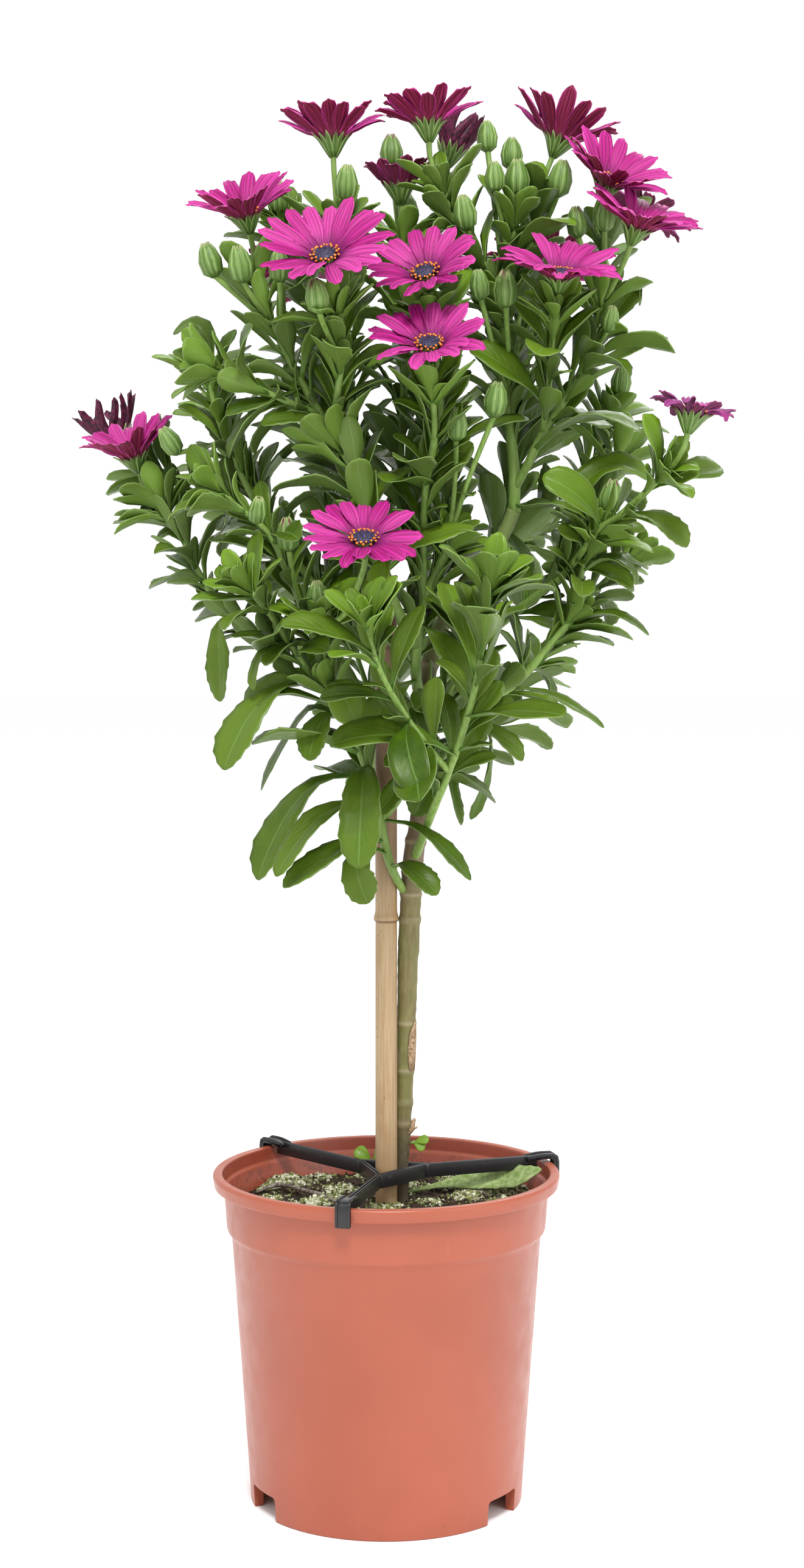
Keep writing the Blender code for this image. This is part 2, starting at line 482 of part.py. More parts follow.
def make_pot(parts, cutters):
    inside = [(0, BASE_Z + FLOOR), *reversed(inner_wall())]
    outside = [(RIM_R - RIM_WIDE + 1, RIM_TOP), (RIM_R - .8, RIM_TOP), (RIM_R, RIM_TOP - 1),
               (RIM_R, LIP_LOW + 1.4), (LIP_R, LIP_LOW), (COLLAR_TOP_R, LIP_LOW - .4),
               (COLLAR_LOW_R, COLLAR_LOW), (COLLAR_LOW_R - LEDGE, COLLAR_LOW - .4), (BASE_R, BASE_Z),
               (FOOT_R, 2), (FOOT_R - 1.6, 0), (FOOT_R - FOOT_WALL, 0), (FOOT_R - FOOT_WALL, BASE_Z),
               (0, BASE_Z)]
    pot = turned("pot", inside + outside, parts)
    wide = 2 * BASE_R * math.tan(math.radians(FOOT_GAP_ANGLE / 2))
    for k, side in enumerate((60, 180, 300)):
        turn = Matrix.Rotation(math.radians(FRONT_FOOT + side), 4, "Z")
        gap = box_mesh((26, wide, BASE_Z), turn @ Matrix.Translation((FOOT_R, 0, BASE_Z / 2 - .05)))
        boolean(pot, cutter(f"foot_gap_{k}", gap, cutters), "DIFFERENCE")
        drain = cone_mesh(DRAIN_R, DRAIN_R, 12, 8,
                          Matrix.Translation(polar(DRAIN_OUT, FRONT_FOOT + side, BASE_Z - 5)))
        boolean(pot, cutter(f"drain_{k}", drain, cutters), "DIFFERENCE")
    return pot


def ground(x, y):
    # Height of the soil's plain surface.
    r = math.hypot(x, y)
    if r < SOIL_BEND[0]:
        return SOIL_CROWN + (SOIL_BEND[1] - SOIL_CROWN) * r / SOIL_BEND[0]
    share = (r - SOIL_BEND[0]) / (SOIL_EDGE[0] - SOIL_BEND[0])
    return SOIL_BEND[1] + (SOIL_EDGE[1] - SOIL_BEND[1]) * share


def make_soil(parts, cutters):
    wall = [(r - GAP, z) for r, z in inner_wall()[2:]]
    floor = wall[-1][1] + GAP
    profile = [(0, SOIL_CROWN), SOIL_BEND, SOIL_EDGE, *wall[:-1], (wall[-1][0], floor), (0, floor)]
    soil = turned("soil", profile, parts)
    hole = cone_mesh(CANE_R + GAP, CANE_R + GAP, 200, 16, Matrix.Translation((0, 0, CANE_LOW - GAP)))
    boolean(soil, cutter("cane_hole", hole, cutters), "DIFFERENCE")
    foot = [seat(p) for p in TRUNK[:3]]
    foot[0] = foot[0] - UP * GAP
    socket = tube_mesh(foot, [r + GAP + .1 for r in TRUNK_R[:3]], 2)
    boolean(soil, cutter("trunk_hole", socket, cutters), "DIFFERENCE")
    return soil


def make_cane(parts):
    heights = [CANE_LOW]
    swell = [CANE_R - .3]
    for node in CANE_NODES:
        heights += [node - 4, node, node + 3]
        swell += [CANE_R - .3, CANE_R, CANE_R - .35]
    points = [Vector((0, 0, z)) for z in heights + [CANE_TOP]]
    return new_object("cane", tube_mesh(points, swell + [CANE_R - .45], 2), parts)


def clip_bar(a, b, tall, thick, top):
    middle = (a + b) / 2
    turn = Matrix.Rotation(math.atan2(b.y - a.y, b.x - a.x), 4, "Z")
    place = Matrix.Translation((middle.x, middle.y, top - tall / 2)) @ turn
    return box_mesh(((b - a).length, thick, tall), place)


def make_clip(parts):
    # A triangular collar round the cane and the trunk, on three arms that hook over the rim.
    middle = Vector((*CLIP_MIDDLE, 0))
    corners = [middle + polar(CLIP_RING_R, a) for a in CLIP_ARMS]
    inside = COLLAR_TOP_R - WALL - GAP - .2
    pieces = []
    for k, angle in enumerate(CLIP_ARMS):
        pieces.append(clip_bar(corners[k], corners[(k + 1) % 3], CLIP_TALL - .1 * k, CLIP_THICK,
                               CLIP_TOP - .05 * k))
        reach = polar(inside - .8, angle)
        pieces.append(clip_bar(corners[k].lerp(middle, .08), reach, CLIP_TALL - .6, CLIP_THICK - .2,
                               CLIP_TOP - .3))
        turn = Matrix.Rotation(math.radians(angle), 4, "Z")
        outer = RIM_R + GAP
        for low, high, r0, r1, wide in (
                (CLIP_TOP - CLIP_TALL, HOOK_TOP - .3, inside - 2.4, inside, HOOK_WIDE),
                (RIM_TOP + GAP, HOOK_TOP, inside - 2, outer + 2, HOOK_WIDE - .4),
                (HOOK_LOW, HOOK_TOP - .2, outer, outer + 2.4, HOOK_WIDE)):
            pieces.append(box_mesh((r1 - r0, wide, high - low),
                                   turn @ Matrix.Translation(((r0 + r1) / 2, 0, (low + high) / 2))))
    return fused("clip", pieces, parts)


def make_tie(parts):
    # A loop of soft tie round the cane and the middle stem.
    height, cord = 487.0, 1.2
    cane, stem = Vector((0, 0, 0)), seat((19.5, 486, -12))
    away = (stem - cane).to_2d().normalized()
    start = math.atan2(away.y, away.x)
    points = []
    for middle, radius, first in ((stem, 3.0, start - math.pi / 2), (cane, CANE_R, start + math.pi / 2)):
        reach = radius + cord + .5
        for k in range(5):
            a = first + math.pi * k / 4
            points.append(Vector((middle.x + reach * math.cos(a), middle.y + reach * math.sin(a), height)))
    curve = bpy.data.curves.new("tie", "CURVE")
    curve.dimensions = "3D"
    curve.bevel_depth, curve.bevel_resolution = cord * MM, 0
    line = curve.splines.new("POLY")
    line.use_cyclic_u = True
    line.points.add(len(points) - 1)
    for spot, point in zip(line.points, points):
        spot.co = (*point * MM, 1)
    return new_object("tie", curve, parts)


def bloom_frame(name):
    _, _, foot, look, *_ = BLOOMS[name]
    look = Vector(look).normalized()
    turn = look.to_track_quat("Z", "X")
    return Matrix.Translation(seat(foot)) @ turn.to_matrix().to_4x4()


def ray_places(name, rows):
    # For each ray: its azimuth and, row by row, (distance out, height, half width, slope).
    _, _, _, _, count, length, lift, arch, _ = BLOOMS[name]
    draw = random.Random(name)
    rays = []
    for k in range(count):
        angle = 2 * math.pi * k / count
        slope = math.radians(lift + draw.uniform(-5, 5) + (4 if k % 2 else -4))
        long, bend = length * draw.uniform(.93, 1.04), math.radians(arch + draw.uniform(-6, 6))
        out, high, last, stations = HUB_R, 0.0, 0.0, []
        for t, share in rows:
            pitch = slope - bend * (t + last) / 2
            out, high = out + long * (t - last) * math.cos(pitch), high + long * (t - last) * math.sin(pitch)
            half = min(RAY_WIDE / 2, .9 * math.pi * out / count) * share
            stations.append((out, high, half, slope - bend * t))
            last = t
        rays.append((angle, stations))
    return rays


def make_rays(name, parts):
    # A disc with as many sides as rays: each side is drawn out into a ray. Where the rays stand
    # steep, the disc is wider below, so that none crosses its rim.
    count, lift = BLOOMS[name][4], BLOOMS[name][6]
    bm = bmesh.new()
    bmesh.ops.create_cone(bm, cap_ends=True, segments=count, radius1=HUB_R * (1.12 if lift > 40 else .75),
                          radius2=HUB_R, depth=HUB_TALL)
    sides = [f for f in bm.faces if len(f.verts) == 4]
    first = sides[0].calc_center_median()
    bmesh.ops.rotate(bm, matrix=Matrix.Rotation(-math.atan2(first.y, first.x), 3, "Z"), verts=bm.verts)
    for angle, stations in ray_places(name, ((.74, 1.0), (1.0, .1))):
        out = Vector((math.cos(angle), math.sin(angle), 0))
        across = Vector((-out.y, out.x, 0))
        side = max((f for f in sides if f.is_valid),
                   key=lambda f: f.calc_center_median().normalized().dot(out))
        roles = [(math.copysign(1, v.co.dot(across)), math.copysign(.5, v.co.z)) for v in side.verts]
        for reach, high, half, slope in stations:
            side = bmesh.ops.extrude_discrete_faces(bm, faces=[side])["faces"][0]
            rise = UP * math.cos(slope) - out * math.sin(slope)
            for v, (hand, level) in zip(side.verts, roles):
                v.co = out * reach + UP * high + across * half * hand + rise * RAY_THICK * level
        bmesh.ops.pointmerge(bm, verts=side.verts, merge_co=out * reach + UP * high)
    bmesh.ops.triangulate(bm, faces=[f for f in bm.faces if len(f.verts) == 4])
    lift = Matrix.Translation((0, 0, CALYX_TALL + GAP + HUB_TALL / 2))
    bmesh.ops.transform(bm, matrix=bloom_frame(name) @ lift, verts=bm.verts)
    return new_object(name + "_rays", mesh_from(bm, name), parts)


def make_eye(name, parts):
    low = CALYX_TALL + GAP + HUB_TALL + GAP
    place = bloom_frame(name) @ Matrix.Translation((0, 0, low))
    return new_object(name + "_eye", cone_mesh(EYE_R, EYE_R * .6, EYE_TALL, 8, place), parts)


def stalk_places(foot, head, look):
    # From the shoot, out along the bloom's own axis at the end.
    start, end = seat(foot), seat(head)
    reach = (end - start).length
    return [start, start.lerp(end - look * reach * .5, .55), end - look * min(8, reach * .3), end]


def calyx_mesh(foot, head, look):
    # The stalk and the green cup that it widens into under the bloom.
    line = [p for p, _ in catmull(stalk_places(foot, head, look), 28)]
    radii = [STALK_R] * (len(line) - 1) + [STALK_R + .4, CALYX_R * .8, CALYX_R]
    return tube_mesh(line + [line[-1] + look * CALYX_TALL * share for share in (.55, 1)], radii, 0)


def bud_mesh(foot, centre, size):
    # The stalk and the closed bud at its end.
    look = ((seat(centre) - seat(foot)).normalized() + UP * 1.5).normalized()
    low = seat(centre) - look * BUD_TALL * size
    line = [p for p, _ in catmull([seat(foot), low], 50)]
    radii = [STALK_R] * len(line)
    for share, wide in ((.45, .95), (1.2, .88), (2.05, .16)):
        line.append(low + look * BUD_TALL * size * share)
        radii.append(BUD_R * size * wide)
    return tube_mesh(line, radii)


def shoot_frame_meshes(shoot):
    # Limbs, then the stalks with their calyxes and buds.
    meshes = [limb_mesh(*limb[:3], sides) for limb, sides in zip(SHOOTS[shoot][1], (1, 0, 0, 0, 0, 0))]
    for owner, foot, head, look, *_ in BLOOMS.values():
        if owner == shoot:
            meshes.append(calyx_mesh(foot, head, Vector(look).normalized()))
    for owner, foot, centre, size in BUDS:
        if owner == shoot:
            meshes.append(bud_mesh(foot, centre, size))
    return meshes


def tree_of(mesh):
    return BVHTree.FromPolygons([v.co for v in mesh.vertices], [p.vertices for p in mesh.polygons])


def clear(mesh, shoot, taken):
    tree = tree_of(mesh)
    return not any(owner != shoot and tree.overlap(other) for owner, other in taken)


def grow_leaves(shoot, number, taken):
    # Leaves of one shoot that hang clear of every other piece; each is tested 0.6 mm fatter.
    kept = []
    for owner, places, width in LARGE_LEAVES:
        if owner == shoot:
            line, normals = large_leaf_line(shoot, places, (0, .3, .56, .82, 1))
            if clear(blade_mesh(line, normals, width + .6, LEAF_THICK + .6), shoot, taken):
                kept.append(blade_mesh(line, normals, width, LEAF_THICK))
            else:
                print("large leaf crosses:", shoot, places[-1])
    for spec in shoot_leaves(number, SHOOTS[shoot][1]):
        rows = (0, .3, .56, .82, 1) if spec[4] > 70 else (0, .4, .76, 1)
        for foot, along, rise, long, droop in leaf_tries(spec):
            line, normals = leaf_line(foot, along, rise, long, droop, rows)
            width = long * LEAF_WIDTH
            if clear(blade_mesh(line, normals, width + .6, LEAF_THICK + .6), shoot, taken):
                kept.append(blade_mesh(line, normals, width, LEAF_THICK))
                break
    taken.extend((shoot, tree_of(mesh)) for mesh in kept)
    return kept


def stem_cutter(parent, cutters):
    # The parent's first limb, fatter by the gap that a shoot keeps to it.
    if parent == "trunk":
        points, radii = [seat(p) for p in TRUNK], TRUNK_R
    else:
        places, foot_r, tip_r, *_ = SHOOTS[parent][1][0]
        line = catmull([seat(p) for p in places], 19)
        points, radii = [p for p, _ in line], [foot_r + (tip_r - foot_r) * t for _, t in line]
    points = [*points[:-1], points[-1] + (points[-1] - points[-2]).normalized() * GAP]
    return cutter(parent + "_clearance", tube_mesh(points, [r + GAP for r in radii], 2), cutters)


def make_twig(parts):
    # It lies on the soil with both ends, and is bowed up a little between them.
    spots, radii = ((-73, 31, 0), (-59, 30, 3), (-38, 7, 1.8), (-22, -8, 0)), (.8, 1.4, 1.2, .7)
    points = [Vector((x, y, ground(x, y) + GAP + r + z + .1)) for (x, y, z), r in zip(spots, radii)]
    return new_object("twig", tube_mesh(points, radii, 1), parts)


def make_fallen_leaf(parts):
    # It stands on the soil with its stalk, and leans up under the clip's arm towards the wall.
    rows = (0, .3, .56, .82, 1)
    foot = Vector((10, 22, ground(10, 22) + GAP))
    points = [foot, *map(Vector, ((33, 25, 167.5), (52, 23, 170), (66, 16, 172.4), (78, 8, 177), (85, 4, 180.5)))]
    fine = catmull(points, 1.5)
    line = [(fine[round(t * (len(fine) - 1))][0], t) for t in rows]
    return new_object("fallen_leaf", blade_mesh(line, [UP] * 5, 15, LEAF_THICK), parts)


def make_seedling(parts):
    # A pair of seed leaves on a stalk behind the clip.
    foot = Vector((-8, 24, ground(-8, 24) + GAP))
    meshes = [tube_mesh([foot, foot + UP * 18], [1.0, 1.0], 0)]
    for angle in (186, 30):
        line, normals = leaf_line(foot + UP * 17, (polar(1, angle) + UP * .9).normalized(), UP, 12, .5,
                                  (0, .38, .76, 1))
        meshes.append(blade_mesh(line, normals, 7.5, LEAF_THICK))
    return fused("seedling", meshes, parts)


def make_sprout(parts):
    # Two young leaves that break from the trunk, low down.
    foot = Vector((13.3, 4.6, 195.0))
    meshes = [tube_mesh([foot, foot + Vector((2.4, -.6, 1))], [.8, .9], 0)]
    for ahead, long in (((1, -.2, .32), 8.5), ((.95, -.5, -.42), 7)):
        line, normals = leaf_line(foot + Vector((1.4, -.35, .6)), Vector(ahead).normalized(), UP, long, .3,
                                  (0, .38, .76, 1))
        meshes.append(blade_mesh(line, normals, 4.8, LEAF_THICK))
    return fused("trunk_sprout", meshes, parts)


def main():
    for obj in list(bpy.data.objects):
        bpy.data.objects.remove(obj)
    parts = bpy.data.collections.new("osteospermum")
    cutters = bpy.data.collections.new("cutters")
    for group in (parts, cutters):
        bpy.context.scene.collection.children.link(group)

    finish = {name: material(name) for name in COLOURS}
    made = {"pot": make_pot(parts, cutters), "soil": make_soil(parts, cutters),
            "cane": make_cane(parts), "clip": make_clip(parts), "tie": make_tie(parts),
            "twig": make_twig(parts), "fallen_leaf": make_fallen_leaf(parts)}
    made["trunk"] = new_object("trunk", tube_mesh([seat(p) for p in TRUNK], TRUNK_R, 2), parts)
    taken = [(name, tree_of(evaluated_mesh(obj))) for name, obj in made.items()]
    for obj_name, obj in made.items():
        obj.data.materials.append(finish[obj_name])
    for small in (make_seedling(parts), make_sprout(parts)):
        small.data.materials.clear()
        small.data.materials.append(finish["green"])
        taken.append((small.name, tree_of(small.data)))

    for name, spec in BLOOMS.items():
        pieces = [(make_rays(name, parts), "rays")]
        if spec[-1]:
            pieces.append((make_eye(name, parts), "eye"))
        for obj, finish_name in pieces:
            obj.data.materials.append(finish[finish_name])
            taken.append((obj.name, tree_of(obj.data)))

    frames = {shoot: shoot_frame_meshes(shoot) for shoot in SHOOTS}
    for shoot, meshes in frames.items():
        taken.extend((shoot, tree_of(mesh)) for mesh in meshes)
    clearances = {parent: stem_cutter(parent, cutters) for parent in ("trunk", "stem_centre", "stem_top")}
    for number, (shoot, (parent, _)) in enumerate(SHOOTS.items()):
        leaves = grow_leaves(shoot, number, taken)
        stem = fused(shoot, frames[shoot] + leaves, parts, [clearances[parent]])
        stem.data.materials.clear()
        stem.data.materials.append(finish["green"])
        print(shoot, "leaves", len(leaves))


main()
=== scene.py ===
# Potted osteospermum: leaves, flowers, stems, pot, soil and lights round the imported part.
# Sizes and places are in millimetres until a mesh is written, which is in metres.

import math
import random

import bpy
import bmesh
import numpy as np
from mathutils import Matrix, Quaternion, Vector, noise
from mathutils.bvhtree import BVHTree


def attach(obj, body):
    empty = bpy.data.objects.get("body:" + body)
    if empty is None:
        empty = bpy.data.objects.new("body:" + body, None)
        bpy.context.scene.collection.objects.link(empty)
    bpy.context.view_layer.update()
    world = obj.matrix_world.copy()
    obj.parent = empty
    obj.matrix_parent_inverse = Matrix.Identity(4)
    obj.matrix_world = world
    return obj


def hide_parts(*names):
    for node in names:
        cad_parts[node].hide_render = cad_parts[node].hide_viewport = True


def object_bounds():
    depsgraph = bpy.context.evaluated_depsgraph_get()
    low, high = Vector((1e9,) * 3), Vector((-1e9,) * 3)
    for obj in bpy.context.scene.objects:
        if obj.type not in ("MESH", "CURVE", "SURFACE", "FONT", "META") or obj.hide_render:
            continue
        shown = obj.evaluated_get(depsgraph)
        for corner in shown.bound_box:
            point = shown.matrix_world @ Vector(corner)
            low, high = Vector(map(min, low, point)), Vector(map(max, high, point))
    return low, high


mm = 0.001
up = Vector((0, 0, 1))
# The camera: its place, how far it looks down in radians, its lens and its film.
camera = {"place": Vector((8.6, -1400.0, 492.7)), "down": 0.0709, "lens": 59.42, "film": 36}

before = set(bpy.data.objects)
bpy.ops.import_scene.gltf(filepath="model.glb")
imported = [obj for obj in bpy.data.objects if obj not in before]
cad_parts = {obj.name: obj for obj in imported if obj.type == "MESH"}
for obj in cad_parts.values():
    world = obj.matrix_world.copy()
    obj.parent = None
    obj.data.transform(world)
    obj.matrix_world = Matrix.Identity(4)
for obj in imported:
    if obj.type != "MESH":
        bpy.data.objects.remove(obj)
cadBox = [list(corner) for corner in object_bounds()]


# (x, z, y): where a point is seen against the upright plane through the pot's axis,
# and how far behind that plane it lies.

trunk = {
    "points": [(8.5, 122, 5.5), (8.5, 165, 5.5), (8.6, 187, 5.6), (10.2, 230, 5), (12, 300, 3.5),
               (14.5, 350, 2.5), (18, 374, 4), (20, 402, 8), (21, 438, 11), (26, 468, 12), (34, 486, 11),
               (42, 501, 9), (52, 514, 7), (62, 526, 5), (69, 541, 3)],
    "radii": [3.6, 3.6, 3.7, 4.6, 5.6, 5.6, 5.2, 4.7, 4.5, 4.2, 4.0, 3.9, 3.8, 3.7, 3.5]}

# Each shoot: what it grows from, then its limbs as (points, foot radius, tip radius, leaves, leaf length).
shoots = {
    "stem_low_left": ("trunk", [
        ([(10, 334, 1), (6, 341, -6), (2, 350, -10.5), (-1, 362, -11.5), (-4, 378, -12), (-9, 398, -12),
          (-15, 413, -13), (-22, 430, -15), (-31, 444, -18)], 2.2, 2.7, 2, 68),
        ([(-31, 444, -18), (-50, 453, -14), (-70, 474, -4), (-88, 490, 6), (-101, 507, 14),
          (-109, 525, 20), (-120, 543, 26)], 2.4, 1.7, 4, 52),
        ([(-31, 444, -18), (-43, 456, -26), (-54, 472, -34), (-63, 486, -40), (-74, 498, -46)],
         2.0, 1.4, 4, 46),
        ([(-31, 444, -18), (-38, 468, -22), (-45, 488, -26), (-53, 507, -30), (-63, 528, -34),
          (-78, 542, -38), (-91, 553, -40)], 2.1, 1.3, 5, 49),
        ([(-29, 441, -17), (-31, 455, -26), (-34, 470, -34), (-35, 480, -39)], 1.8, 1.5, 2, 46),
        ([(-3, 372, -12), (8, 387, -13), (17, 406, -14), (27, 428, -16), (36, 446, -20), (44, 461, -24),
          (47, 478, -27)], 2.0, 1.4, 5, 49)]),
    "stem_low_right": ("trunk", [
        ([(20, 398, 8), (27, 405, 4), (36, 415, 1), (46, 428, -2), (57, 440, -5), (68, 446, -8),
          (79, 457, -10), (90, 470, -13), (100, 482, -16)], 2.5, 2.0, 3, 57),
        ([(100, 482, -16), (103, 497, -20), (107, 512, -24), (113, 526, -28)], 1.8, 1.4, 4, 41),
        ([(100, 482, -16), (109, 494, -8), (120, 505, 0), (129, 513, 6)], 1.6, 1.1, 3, 38)]),
    "stem_right": ("trunk", [
        ([(21, 442, 11), (33, 452, 18), (46, 466, 22), (62, 480, 18), (77, 492, 6), (97, 508, -14),
          (113, 529, -40), (127, 539, -60), (140, 551, -76), (149, 560, -86)], 2.8, 1.6, 4, 52),
        ([(97, 508, -14), (108, 535, 2), (117, 553, 10), (124, 566, 16)], 1.6, 1.1, 3, 38)]),
    "stem_centre": ("trunk", [
        ([(20.5, 436, 11), (17, 446, 2), (16, 458, -6), (17, 470, -9), (18, 480, -11), (22, 497, -14),
          (28, 508, -16), (33, 521, -20)], 3.1, 2.7, 2, 71),
        ([(20, 492, -13), (20, 530, -24), (22, 556, -34), (26, 580, -44), (25, 602, -52)],
         2.2, 1.7, 3, 54),
        ([(21, 495, -14), (14, 520, -2), (10, 545, 6), (8, 570, 12), (9, 600, 15), (10, 640, 16),
          (9, 680, 16)], 2.2, 1.5, 5, 60),
        ([(28, 508, -16), (32, 540, -8), (30, 580, -12), (28, 620, -22), (26, 642, -30)],
         2.0, 1.6, 3, 54)]),
    "stem_centre_left": ("stem_centre", [
        ([(16.5, 468, -9), (8, 484, -20), (1, 500, -30), (-5, 516, -36), (-11, 540, -38),
          (-16, 560, -36), (-25, 575, -34)], 2.8, 2.5, 2, 68),
        ([(-25, 575, -34), (-27, 590, -38), (-26, 604, -42), (-24, 622, -48), (-27, 645, -56)],
         2.2, 1.7, 3, 54),
        ([(-25, 575, -34), (-35, 592, -32), (-44, 607, -28), (-53, 624, -22), (-62, 642, -18),
          (-69, 662, -14)], 2.4, 1.6, 4, 54),
        ([(-35, 592, -32), (-55, 600, -40), (-75, 609, -44), (-90, 616, -46)], 1.8, 1.3, 4, 46)]),
    "stem_upper_left": ("trunk", [
        ([(21, 446, 11), (12, 470, 24), (2, 500, 32), (-8, 535, 36), (-16, 570, 36), (-20, 610, 30),
          (-23, 650, 24), (-25, 690, 14)], 3.0, 1.8, 5, 63),
        ([(-20, 610, 30), (-35, 640, 34), (-48, 670, 30), (-54, 688, 25)], 1.9, 1.4, 4, 49)]),
    "stem_top": ("trunk", [
        ([(69, 540, 3), (69, 560, 2), (67, 582, 2), (66, 602, 4), (64, 625, 6), (62, 650, 6)],
         3.3, 2.4, 3, 63),
        ([(62, 650, 6), (52, 672, 5), (42, 686, 4), (35, 697, 3), (31, 710, 2)], 1.8, 1.5, 2, 46),
        ([(62, 650, 6), (66, 675, 7), (69, 694, 5)], 1.9, 1.6, 3, 49),
        ([(66, 602, 4), (72, 640, 16), (77, 680, 22), (81, 704, 21)], 2.0, 1.6, 4, 52)]),
    "stem_right_top": ("stem_top", [
        ([(69, 552, 2.5), (76, 565, -4), (84, 582, -8), (94, 597, -8), (104, 614, -6), (111, 634, -4),
          (116, 652, -2)], 2.5, 1.8, 4, 54),
        ([(84, 582, -8), (87, 604, -20), (89, 630, -30), (91, 644, -36)], 1.9, 1.6, 2, 49),
        ([(111, 634, -4), (115, 660, 14), (116, 685, 26)], 1.7, 1.4, 2, 44)]),
    "stem_left": ("trunk", [
        ([(20, 425, 10), (6, 445, 21), (-15, 470, 28), (-38, 500, 28), (-60, 530, 22), (-78, 560, 14),
          (-90, 590, 6), (-95, 612, 2)], 2.8, 1.5, 6, 54),
        ([(-60, 530, 22), (-82, 540, 34), (-104, 551, 44), (-122, 562, 50)], 1.8, 1.4, 4, 46)]),
    "stem_back_left": ("trunk", [
        ([(20, 416, 11), (10, 440, 38), (-5, 465, 62), (-20, 500, 84), (-30, 540, 98), (-36, 585, 98),
          (-38, 630, 90)], 2.9, 1.7, 6, 63),
        ([(-20, 500, 84), (-50, 520, 104), (-72, 550, 112), (-88, 590, 104)], 1.9, 1.3, 5, 54)]),
    "stem_back_right": ("trunk", [
        ([(33, 484, 11), (46, 500, 36), (58, 520, 60), (68, 550, 80), (74, 590, 90), (76, 630, 88)],
         2.8, 1.7, 5, 63),
        ([(58, 520, 60), (84, 530, 86), (106, 555, 94), (120, 590, 86)], 1.9, 1.3, 5, 54)]),
    "stem_back_low": ("trunk", [
        ([(17, 370, 4), (16, 384, 20), (12, 398, 40), (4, 415, 62), (-8, 440, 86), (-18, 470, 104)],
         2.6, 1.4, 5, 65),
        ([(12, 398, 40), (34, 408, 62), (58, 430, 82), (78, 458, 94)], 1.8, 1.3, 3, 57)]),
    "stem_back_centre": ("trunk", [
        ([(26, 466, 12), (25, 484, 38), (23, 505, 62), (21, 540, 78), (20, 590, 78), (18, 640, 66),
          (14, 675, 52)], 2.6, 1.5, 6, 60)]),
    "stem_front": ("trunk", [
        ([(15, 352, 2), (19, 362, -12), (25, 378, -30), (34, 400, -50), (44, 430, -68), (52, 465, -80),
          (56, 500, -86)], 2.6, 1.5, 6, 68),
        ([(34, 400, -50), (14, 425, -76), (-2, 452, -97), (-10, 478, -112)], 1.8, 1.3, 4, 60)]),
}

# Each bloom: shoot, foot of its stalk, calyx foot, way it looks, rays, ray length, lift, arch, eye shown.
blooms = {
    "bloom_01": ("stem_upper_left", (-25, 690, 14), (-28, 729, 8), (-.04, .05, 1), 14, 26, 50, 28, 1),
    "bloom_02": ("stem_top", (31, 710, 2), (23, 737, 2), (-.05, .05, 1), 13, 25, 46, 22, 1),
    "bloom_03": ("stem_top", (58, 662, 8), (33, 724, 48), (.25, .1, 1), 9, 22, 66, -10, 0),
    "bloom_04": ("stem_top", (81, 704, 21), (89, 729, 36), (.40, .05, 1), 12, 30, 44, 10, 1),
    "bloom_05": ("stem_right_top", (116, 685, 26), (115, 707, 2), (.42, -.55, 1), 14, 29, 46, 20, 1),
    "bloom_06": ("stem_right_top", (116, 678, 22), (134, 690, 78), (.4, .3, 1), 10, 22, 20, 20, 0),
    "bloom_07": ("stem_right_top", (116, 652, -2), (131, 683, -22), (.34, -.35, 1), 13, 28, 42, 34, 1),
    "bloom_08": ("stem_right_top", (91, 644, -36), (92, 657, -44), (.06, -.46, 1), 14, 30, 44, 48, 1),
    "bloom_09": ("stem_centre", (26, 642, -30), (23, 659, -40), (-.28, -.85, 1), 13, 26, 36, 28, 1),
    "bloom_10": ("stem_centre_left", (-27, 645, -56), (-31, 668, -66), (-.15, -.9, 1), 15, 31, 32, 26, 1),
    "bloom_11": ("stem_centre_left", (-69, 662, -14), (-73, 689, -13), (-.22, -.37, 1), 13, 27, 46, 26, 1),
    "bloom_12": ("stem_centre", (9, 680, 16), (8, 704, 22), (-.06, -.02, 1), 12, 18, 56, 14, 0),
    "bloom_13": ("stem_centre", (25, 602, -52), (24, 621, -62), (-.1, -.76, 1), 14, 26, 34, 26, 1),
    "bloom_14": ("stem_low_left", (-35, 480, -39), (-12, 517, -86), (0, -.7, 1), 15, 25.5, 24, 24, 1),
    "bloom_15": ("stem_low_left", (-120, 543, 26), (-133, 562, 32), (-.3, -.3, 1), 13, 26, 50, 24, 1),
    "bloom_16": ("stem_left", (-122, 562, 50), (-141, 573, 80), (-.5, .1, 1), 9, 23, 50, -20, 0),
    "bloom_17": ("stem_right", (149, 560, -86), (162, 583, -96), (.22, .0, 1), 12, 17, 44, 56, 1),
    "bloom_18": ("stem_back_left", (-38, 630, 90), (-42, 662, 92), (-.2, .7, 1), 12, 30, 30, 24, 1),
    "bloom_19": ("stem_back_right", (76, 630, 88), (82, 660, 92), (.2, .6, 1), 12, 30, 32, 24, 1),
}

